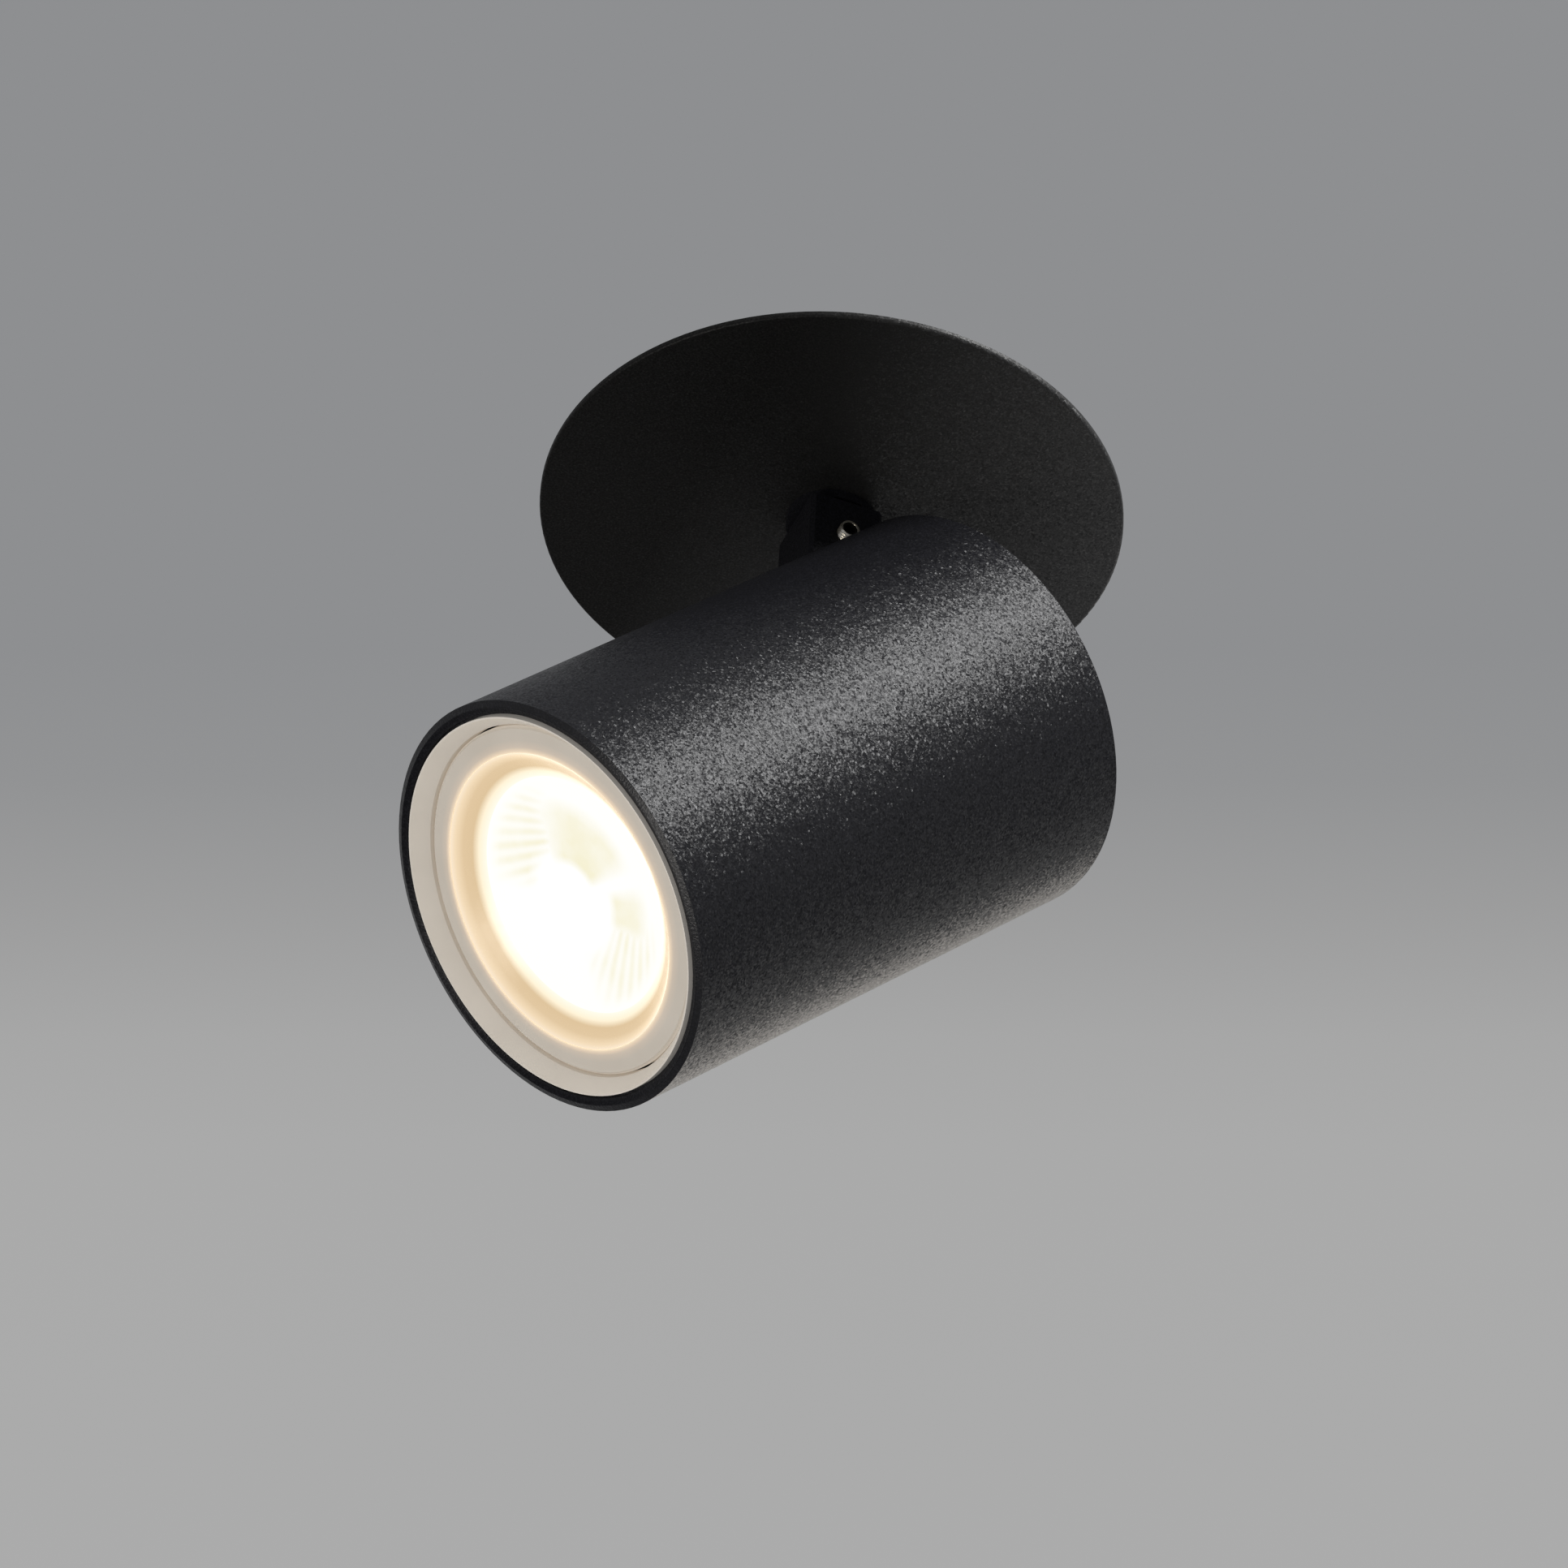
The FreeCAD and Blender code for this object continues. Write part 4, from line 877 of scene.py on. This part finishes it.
COAT = TubeCoat("black_powder_coat", "black_coat")
PLATE_COAT = PlateCoat("plate_powder_coat", "black_coat", tone=(0.0045, 0.0044, 0.0042),
                       fleck=(0.0125, 0.0122, 0.0115), depth=0.06 * MM, roughness=(0.42, 0.6), tilt=0.65, sheen=0.14)
ARM_COAT = PowderCoat("arm_powder_coat", "black_coat", tone=(0.004, 0.004, 0.0052), fleck=(0.012, 0.012, 0.0155),
                      depth=0.06 * MM, roughness=(0.4, 0.6), tilt=0.4, sheen=0.2)
ZINC = PlatedMetal("zinc_plating", "zinc_steel", roughness=(0.4, 0.55))
STEEL = PlatedMetal("bright_steel", "bright_steel", tone=(0.68, 0.66, 0.62), shade=(0.55, 0.53, 0.49),
                    roughness=(0.14, 0.26))
# Painted shade: near-black finish for the inside of the grub's socket
SOCKET_SHADE_STEEL = PlatedMetal("socket_painted_shade", "bright_steel", tone=(0.02, 0.018, 0.015), shade=(0.012, 0.011, 0.01),
                           roughness=(0.4, 0.6))
GRUB_STEEL = PlatedMetal("grub_steel", "bright_steel", tone=(0.9, 0.86, 0.77), shade=(0.78, 0.7, 0.55),
                         roughness=(0.24, 0.38))
BRASS = PlatedMetal("turned_brass", "brass", tone=(0.72, 0.52, 0.24), shade=(0.6, 0.42, 0.18))
MIRROR = PlatedMetal("reflector_coat", "mirror_coat", tone=(0.86, 0.85, 0.82), shade=(0.8, 0.79, 0.75),
                     roughness=(0.04, 0.1))
WHITE = Moulded("white_moulding", "white_plastic")
RUBBER = Moulded("black_rubber", "rubber", tone=(0.035, 0.035, 0.036), shade=(0.024, 0.024, 0.025),
                 roughness=(0.6, 0.8))
CERAMIC = Moulded("holder_ceramic", "ceramic", tone=(0.78, 0.75, 0.68), shade=(0.72, 0.68, 0.6),
                  roughness=(0.45, 0.65), grain=0.5 * MM, depth=0.02 * MM)
SLEEVE = Moulded("lead_silicone", "lead_sleeve", tone=(0.62, 0.6, 0.56), shade=(0.56, 0.54, 0.5),
                 roughness=(0.4, 0.5))
EARTH = StripedSleeve("earth_silicone", "earth_sleeve")
BOARD = Moulded("board_lacquer", "circuit_board", tone=(0.05, 0.2, 0.1), shade=(0.04, 0.15, 0.08),
                roughness=(0.25, 0.4))
PALE_TRIM = PaleRing("pale_trim", "pale_rim")
PALE_RIM = PaleRing("pale_lamp_rim", "pale_rim")
PHOSPHOR = Moulded("phosphor", "emitter", tone=(0.9, 0.72, 0.25), shade=(0.85, 0.66, 0.2))
LIT_WINDOW = LitWindow("lit_window", "lens")
LIT_BEVEL = LitBevel("lit_bevel", "lens")

NODE_FINISHES: dict[Finish, tuple[str, ...]] = {
    COAT: ("housing_tube", "rear_cap"),
    ARM_COAT: ("knuckle_arm", "swivel_nipple"),
    PLATE_COAT: ("ceiling_plate",),
    ZINC: ("clip_bracket", "toothed_washer", "lock_nut", "clip_pins", "left_clip_arm", "right_clip_arm", "bulkhead",
           "left_cheek", "right_cheek", "cap_spacers", "holder_nuts", "friction_washers"),
    STEEL: ("grub_screw", "pivot_screws", "cap_screws", "holder_screws", "cover_screw", "disc_springs",
            "left_clip_spring", "right_clip_spring", "terminal_screws"),
    BRASS: ("earth_tag", "earth_screw", "terminal_inserts", "holder_contacts", "lamp_pins"),
    WHITE: ("terminal_block", "terminal_cover", "lamp_base", "lamp_shell"),
    RUBBER: ("inlet_grommet", "left_clip_sleeve", "right_clip_sleeve"),
    CERAMIC: ("lamp_holder",),
    SLEEVE: ("box_leads", "stem_leads", "head_leads"),
    EARTH: ("earth_lead",),
    BOARD: ("lamp_led_board", "lamp_driver_board"),
    PALE_TRIM: ("trim_ring",),
    PALE_RIM: ("lamp_rim",),
    MIRROR: ("lamp_reflector",),
    PHOSPHOR: ("lamp_emitter",),
    LIT_WINDOW: ("lamp_lens",),
}


def adopt(obj: Piece, finish: Finish, body: Body, node: str) -> None:
    """Finish a new piece and set it on its body in place of a solid.

    Args:
        obj: The piece, in place.
        finish: Its finish.
        body: The body that it rides on.
        node: The solid that it stands for.
    """
    finish.dress(obj)
    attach(obj, body.value)
    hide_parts(node)
    log.info("%s rides on %s in place of %s", obj.name, body.value, node)


def adopt_between(obj: Piece, finish: Finish, ends: tuple[Body, Body], start: Vector, end: Vector,
                  node: str) -> None:
    """Finish a new piece that runs across a joint and fix it in the world in place of a solid.

    Args:
        obj: The piece, in place.
        finish: Its finish.
        ends: The bodies at its two ends, named in the log.
        start: Not used.
        end: Not used.
        node: The solid that it stands for.
    """
    finish.dress(obj)
    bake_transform(obj)
    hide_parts(node)
    log.info("%s bends from %s to %s in place of %s", obj.name, ends[0].value, ends[1].value, node)


# Sub-assemblies


@dataclass
class CeilingSide:
    """Leads between the terminal block, the stem and the earth tag, with routes in millimetres."""

    straight: tuple[Triple, ...] = ((0.0, 1.0, 6.9), (0.0, 1.0, 12.0), (0.0, 15.3, 12.0))
    aside: tuple[Triple, ...] = ((0.0, -1.0, 6.9), (0.0, -1.0, 12.0), (-8.0, 1.0, 12.0), (-8.0, 15.3, 12.0))
    earth: tuple[Triple, ...] = ((8.0, 15.3, 12.0), (8.0, 6.3, 12.0), (10.0, 0.0, 2.8), (14.5, 0.0, 2.8))

    def build(self) -> None:
        """Make the leads in the box over the plate."""
        pair = Bench.cord("box_lead_pair", [self.route(self.straight), self.route(self.aside)], LAYOUT.lead)
        adopt(pair, SLEEVE, Body.CEILING, "box_leads")
        earth = Bench.cord("earth_lead_sleeve", [self.route(self.earth)], LAYOUT.lead)
        adopt(earth, EARTH, Body.CEILING, "earth_lead")

    @staticmethod
    def route(points: tuple[Triple, ...]) -> list[Vector]:
        """Points in millimetres along the clip line, as places in the world."""
        return [LAYOUT.ceiling() @ (Vector(point) * MM) for point in points]


@dataclass
class Clip:
    """Torsion spring of one ceiling clip."""

    side: Side
    pin: Span = (28.7 * MM, 13.0 * MM)
    coil: float = 1.75 * MM
    wire: float = 0.4 * MM
    pitch: float = 1.5 * MM
    sweep: float = math.radians(5 * 360 + 138)
    tail: float = 6.0 * MM
    wire_sides: int = 14
    steps: int = 200

    def build(self) -> None:
        """Wind the spring and draw out its two tails."""
        side = self.side.name.lower()
        climb = self.sweep / (2.0 * math.pi) * self.pitch
        Bench.clear()
        bpy.ops.mesh.primitive_circle_add(vertices=self.wire_sides, radius=self.wire,
                                          rotation=(math.pi / 2, 0.0, 0.0), location=(-self.coil, 0.0, climb / 2))
        spring = bpy.context.object
        spring.name = f"{side}_coil"
        bpy.ops.object.transform_apply(location=True, rotation=True, scale=True)
        Bench.modify(spring, "SCREW", axis="Z", angle=-self.sweep, screw_offset=-climb, iterations=1,
                     steps=self.steps, render_steps=self.steps)
        end = math.pi - self.sweep
        Bench.edit(spring)
        for low, way in ((False, (0.0, -self.tail, 0.0)),
                         (True, (self.tail * math.sin(end), -self.tail * math.cos(end), 0.0))):
            Bench.open_rim(spring, low)
            bpy.ops.mesh.extrude_region_move(TRANSFORM_OT_translate={"value": way})
        bpy.ops.mesh.select_all(action="SELECT")
        bpy.ops.mesh.fill_holes(sides=0)
        Bench.face_outwards()
        Bench.smooth(spring, Bench.STOCK_CORNER)
        place = self.spring_frame()
        Bench.place(spring, place)
        Bench.edit(spring)
        Bench.face_outwards()
        Bench.clear()
        half = climb / 2 - self.wire
        ends = [place @ Vector((0.0, 0.0, z)) for z in (half, -half)]
        adopt_between(spring, STEEL, (Body.CEILING, Body(f"{side}_clip")), *ends, f"{side}_clip_spring")

    def spring_frame(self) -> Matrix:
        """Frame of the spring: Z along the pin, X outwards along the clip line, Y up."""
        x, z = self.pin
        flip = float(self.side.value)
        local = Matrix(((flip, 0.0, 0.0, flip * x), (0.0, 0.0, -1.0, 0.0), (0.0, 1.0, 0.0, z), (0.0, 0.0, 0.0, 1.0)))
        return LAYOUT.ceiling() @ local


@dataclass
class Swivel:
    """Grub screw of the arm and the leads that run down through it.

    The edge and depth where the socket's painted shade begins count in widths of the screw's lip.
    """

    grub_z: float = -9.4 * MM
    grub_radius: float = 1.5 * MM
    grub_lip: float = 0.2 * MM
    lip_steps: int = 8
    grub_tip: float = 0.8 * MM
    grub_corner: float = 28.0
    thread: Thread = Thread(pitch=0.5 * MM, depth=0.27 * MM)
    socket_flats: float = 1.5 * MM
    socket_depth: float = 1.6 * MM
    shade_edge: float = 1.9
    shade_sink: float = 0.5
    lead_top: float = 6.8 * MM
    lead_foot: float = -29.71 * MM

    def build(self) -> None:
        """Make the grub screw and the stem leads."""
        self.grub()
        middle = (self.lead_top + self.lead_foot) / 2
        routes = [[Vector((0.0, y, z)) for z in (self.lead_top, middle, self.lead_foot)] for y in LAYOUT.lead_sides]
        leads = Bench.cord("stem_lead_pair", routes, LAYOUT.lead)
        adopt_between(leads, SLEEVE, (Body.CEILING, Body.SWIVEL), Vector((0.0, 0.0, self.lead_top)),
                      Vector((0.0, 0.0, self.lead_foot)), "stem_leads")

    def grub(self) -> None:
        """Threaded grub screw with a hexagon socket, painted dark as shade inside its rounded lip."""
        low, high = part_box("grub_screw")
        length = high.y - low.y
        lip = self.grub_lip
        turns = [math.pi * (1.0 - k / self.lip_steps) for k in range(self.lip_steps + 1)]
        outline = [(self.grub_radius - lip + lip * math.cos(turn), lip - lip * math.sin(turn)) for turn in turns]
        outline += [(self.grub_radius, length - (self.grub_radius - self.grub_tip)), (self.grub_tip, length)]
        screw = Bench.threaded("grub_screw_threaded", outline, self.thread)
        Bench.clear()
        bpy.ops.mesh.primitive_cylinder_add(vertices=6, radius=self.socket_flats / math.sqrt(3.0),
                                            depth=2.0 * self.socket_depth)
        Bench.carve(screw, bpy.context.object)
        Bench.smooth(screw, self.grub_corner)
        where = Matrix(((1.0, 0.0, 0.0, 0.0), (0.0, 0.0, 1.0, low.y), (0.0, -1.0, 0.0, self.grub_z),
                        (0.0, 0.0, 0.0, 1.0)))
        Bench.place(screw, where)
        adopt(screw, GRUB_STEEL, Body.SWIVEL, "grub_screw")
        # Painted shade: faces deep inside the socket wear a near-black finish for the shade in the hole
        screw.data.materials.append(SOCKET_SHADE_STEEL.material())
        for face in screw.data.polygons:
            reach = math.hypot(face.center.x, face.center.z - self.grub_z)
            sunk = face.center.y > low.y + self.shade_sink * lip
            face.material_index = int(sunk and reach < self.grub_radius - self.shade_edge * lip)


@dataclass
class Head:
    """Leads from the arm to the lamp holder, with their route in millimetres up and along the tube."""

    route: tuple[Span, ...] = ((15.471, 4.042), (14.237, 5.22), (-8.2, 5.22), (-8.2, 11.42))

    def build(self) -> None:
        """Make the leads behind the lamp holder."""
        place = LAYOUT.head()
        routes = [[place @ Vector((x, y * MM, z * MM)) for y, z in self.route] for x in LAYOUT.lead_sides]
        leads = Bench.cord("head_lead_pair", routes, LAYOUT.lead)
        middle = [(a + b) / 2 for a, b in zip(*routes)]
        adopt_between(leads, SLEEVE, (Body.SWIVEL, Body.HEAD), middle[0], middle[2], "head_leads")


@dataclass
class Lamp:
    """The lit lamp's lens."""

    front: float = 70.02 * MM
    edge: float = LAYOUT.lens_edge
    edge_sink: float = 0.1 * MM
    foot: float = 20.05 * MM
    foot_sink: float = 1.5 * MM
    window: float = LAYOUT.window
    window_sink: float = 3.0 * MM
    crown: float = 0.6 * MM
    back_sink: float = 3.8 * MM
    sides: int = 176
    crown_rings: int = 10
    corner: float = 25.0

    def build(self) -> None:
        """Make the lens and dress it in two finishes."""
        outline = [
            (self.window, self.front - self.back_sink), (self.edge, self.front - self.back_sink),
            (self.edge, self.front - self.edge_sink), (self.foot, self.front - self.foot_sink),
            (self.window, self.front - self.window_sink),
        ]
        for k in range(1, self.crown_rings):
            share = 1.0 - k / self.crown_rings
            rise = self.crown * (1.0 - share * share)
            outline.append((self.window * share, self.front - self.window_sink + rise))
        outline.append((0.0, self.front - self.window_sink + self.crown))
        lens = Bench.turned("lens", outline, self.sides)
        Bench.smooth(lens, self.corner)
        Bench.place(lens, LAYOUT.head())
        adopt(lens, LIT_WINDOW, Body.LAMP, "lamp_lens")
        lens.data.materials.append(LIT_BEVEL.material())
        to_head = LAYOUT.head().inverted()
        for face in lens.data.polygons:
            centre = to_head @ face.center
            face.material_index = int(math.hypot(centre.x, centre.y) > self.window)


@dataclass(frozen=True)
class SoftBox:
    """Square area light that faces the lamp, with its direction from the lamp and its power in watts."""

    name: str
    way: Triple
    power: float
    tint: Colour
    size: float = 0.4
    distance: float = 0.9

    def build(self, aim: Vector) -> None:
        """Add the light, facing a point."""
        Bench.clear()
        towards = Vector(self.way).normalized()
        bpy.ops.object.light_add(type="AREA", location=aim + towards * self.distance)
        light = bpy.context.object
        light.name = self.name
        light.rotation_euler = towards.to_track_quat("Z", "Y").to_euler()
        light.data.size = self.size
        light.data.energy = self.power
        light.data.color = self.tint


@dataclass
class Stage:
    """Floor, backdrop, lights and camera."""

    floor_z: float = -1.3
    floor_size: float = 14.0
    floor_tones: tuple[Colour, Colour] = ((0.5, 0.5, 0.5), (0.54, 0.54, 0.54))
    floor_clouds: float = 3.0
    floor_roughness: float = 0.7
    eye: Vector = Vector((-0.2791, -0.7531, -0.7358))
    ahead: Vector = Vector((0.26046829, 0.71554242, 0.64819388))
    right: Vector = Vector((0.92536351, -0.37654, 0.04381789))
    lens: float = 170.72
    sensor: float = 36.0
    clip: Span = (0.01, 100.0)
    aim: Vector = Vector((-0.008, 0.0, -0.054))
    half_view: float = 0.1045
    greys: Stops = (
        (0.0, (0.2705, 0.2747, 0.2832)), (0.414, (0.2705, 0.2747, 0.2832)), (0.497, (0.288, 0.291, 0.297)),
        (0.58, (0.335, 0.335, 0.337)), (0.6625, (0.385, 0.385, 0.385)), (0.73, (0.402, 0.402, 0.402)),
        (1.0, (0.409, 0.409, 0.409)),
    )
    fill: Colour = (0.28, 0.28, 0.29)
    boxes: tuple[SoftBox, ...] = (
        SoftBox("beside_tube", (0.367, -0.76, 0.536), 9.1, (1.0, 1.0, 1.0), size=0.42),
        SoftBox("behind_tube", (0.5, 0.78, 0.25), 0.5, (1.0, 0.93, 0.84)),
        SoftBox("before_lamp", (-0.72, -0.1, -0.68), 3.4, (1.0, 0.97, 0.93)),
        SoftBox("far_low", (0.74, 0.56, -0.37), 0.12, (1.0, 0.98, 0.95), size=0.25, distance=0.42),
        SoftBox("near_low", (0.5, -0.75, -0.43), 0.3, (0.9, 0.95, 1.0), size=0.3),
    )

    def build(self) -> None:
        """Set up the stage."""
        self.floor()
        self.backdrop()
        for box in self.boxes:
            box.build(self.aim)
        self.camera()
        bpy.context.scene.view_settings.view_transform = "Standard"

    def floor(self) -> None:
        """Plain pale floor, far below the lamp."""
        Bench.clear()
        bpy.ops.mesh.primitive_plane_add(size=self.floor_size, location=(0.0, 0.0, self.floor_z))
        floor = bpy.context.object
        floor.name = "floor"
        sketch = Sketch("pale_floor")
        cloud = sketch.noise(sketch.coords(), self.floor_clouds)
        tone = sketch.ramp(cloud, tuple(zip(NOISE_SPAN, self.floor_tones)))
        sketch.set(Base_Color=tone, Roughness=self.floor_roughness)
        floor.data.materials.append(sketch.material)

    def backdrop(self) -> None:
        """Grey backdrop that lightens downwards, and a soft light all round."""
        world = bpy.data.worlds.new("studio")
        bpy.context.scene.world = world
        world.use_nodes = True
        world.node_tree.nodes.clear()
        sky = Tree(world.node_tree)
        direction = sky.put("ShaderNodeTexCoord", {}).outputs["Generated"]
        down = sky.put("ShaderNodeVectorMath", {0: direction, 1: self.ahead.cross(self.right)},
                       operation="DOT_PRODUCT").outputs["Value"]
        grey = sky.ramp(sky.spread(down, -self.half_view, self.half_view), self.greys)
        seen = sky.put("ShaderNodeBackground", {"Color": grey}).outputs["Background"]
        soft = sky.put("ShaderNodeBackground", {"Color": (*self.fill, 1.0)}).outputs["Background"]
        rays = sky.put("ShaderNodeLightPath", {}).outputs
        direct = sky.maths("MAXIMUM", rays["Is Camera Ray"], rays["Is Glossy Ray"])
        direct = sky.maths("MAXIMUM", direct, rays["Is Transmission Ray"])
        mix = sky.put("ShaderNodeMixShader", {0: direct, 1: soft, 2: seen})
        sky.put("ShaderNodeOutputWorld", {"Surface": mix.outputs["Shader"]})

    def camera(self) -> None:
        """Camera at the photograph's viewing angle."""
        Bench.clear()
        bpy.ops.object.camera_add()
        camera = bpy.context.object
        camera.name = "viewer"
        up = self.right.cross(self.ahead)
        camera.matrix_world = frame_at(self.right, up, -self.ahead, self.eye)
        camera.data.sensor_width = self.sensor
        camera.data.lens = self.lens
        camera.data.clip_start, camera.data.clip_end = self.clip
        bpy.context.scene.camera = camera


def dress_nodes() -> None:
    """Give each solid its finish."""
    for finish, names in NODE_FINISHES.items():
        for name in names:
            finish.dress(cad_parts[name])
            log.info("%s wears %s", name, finish.name)


def main() -> None:
    """Build the sub-assemblies and the stage in order."""
    logging.basicConfig(level=logging.INFO, format="%(message)s")
    dress_nodes()
    CeilingSide().build()
    for side in Side:
        Clip(side).build()
    Swivel().build()
    Head().build()
    Lamp().build()
    Stage().build()


if __name__ == "__main__":
    main()
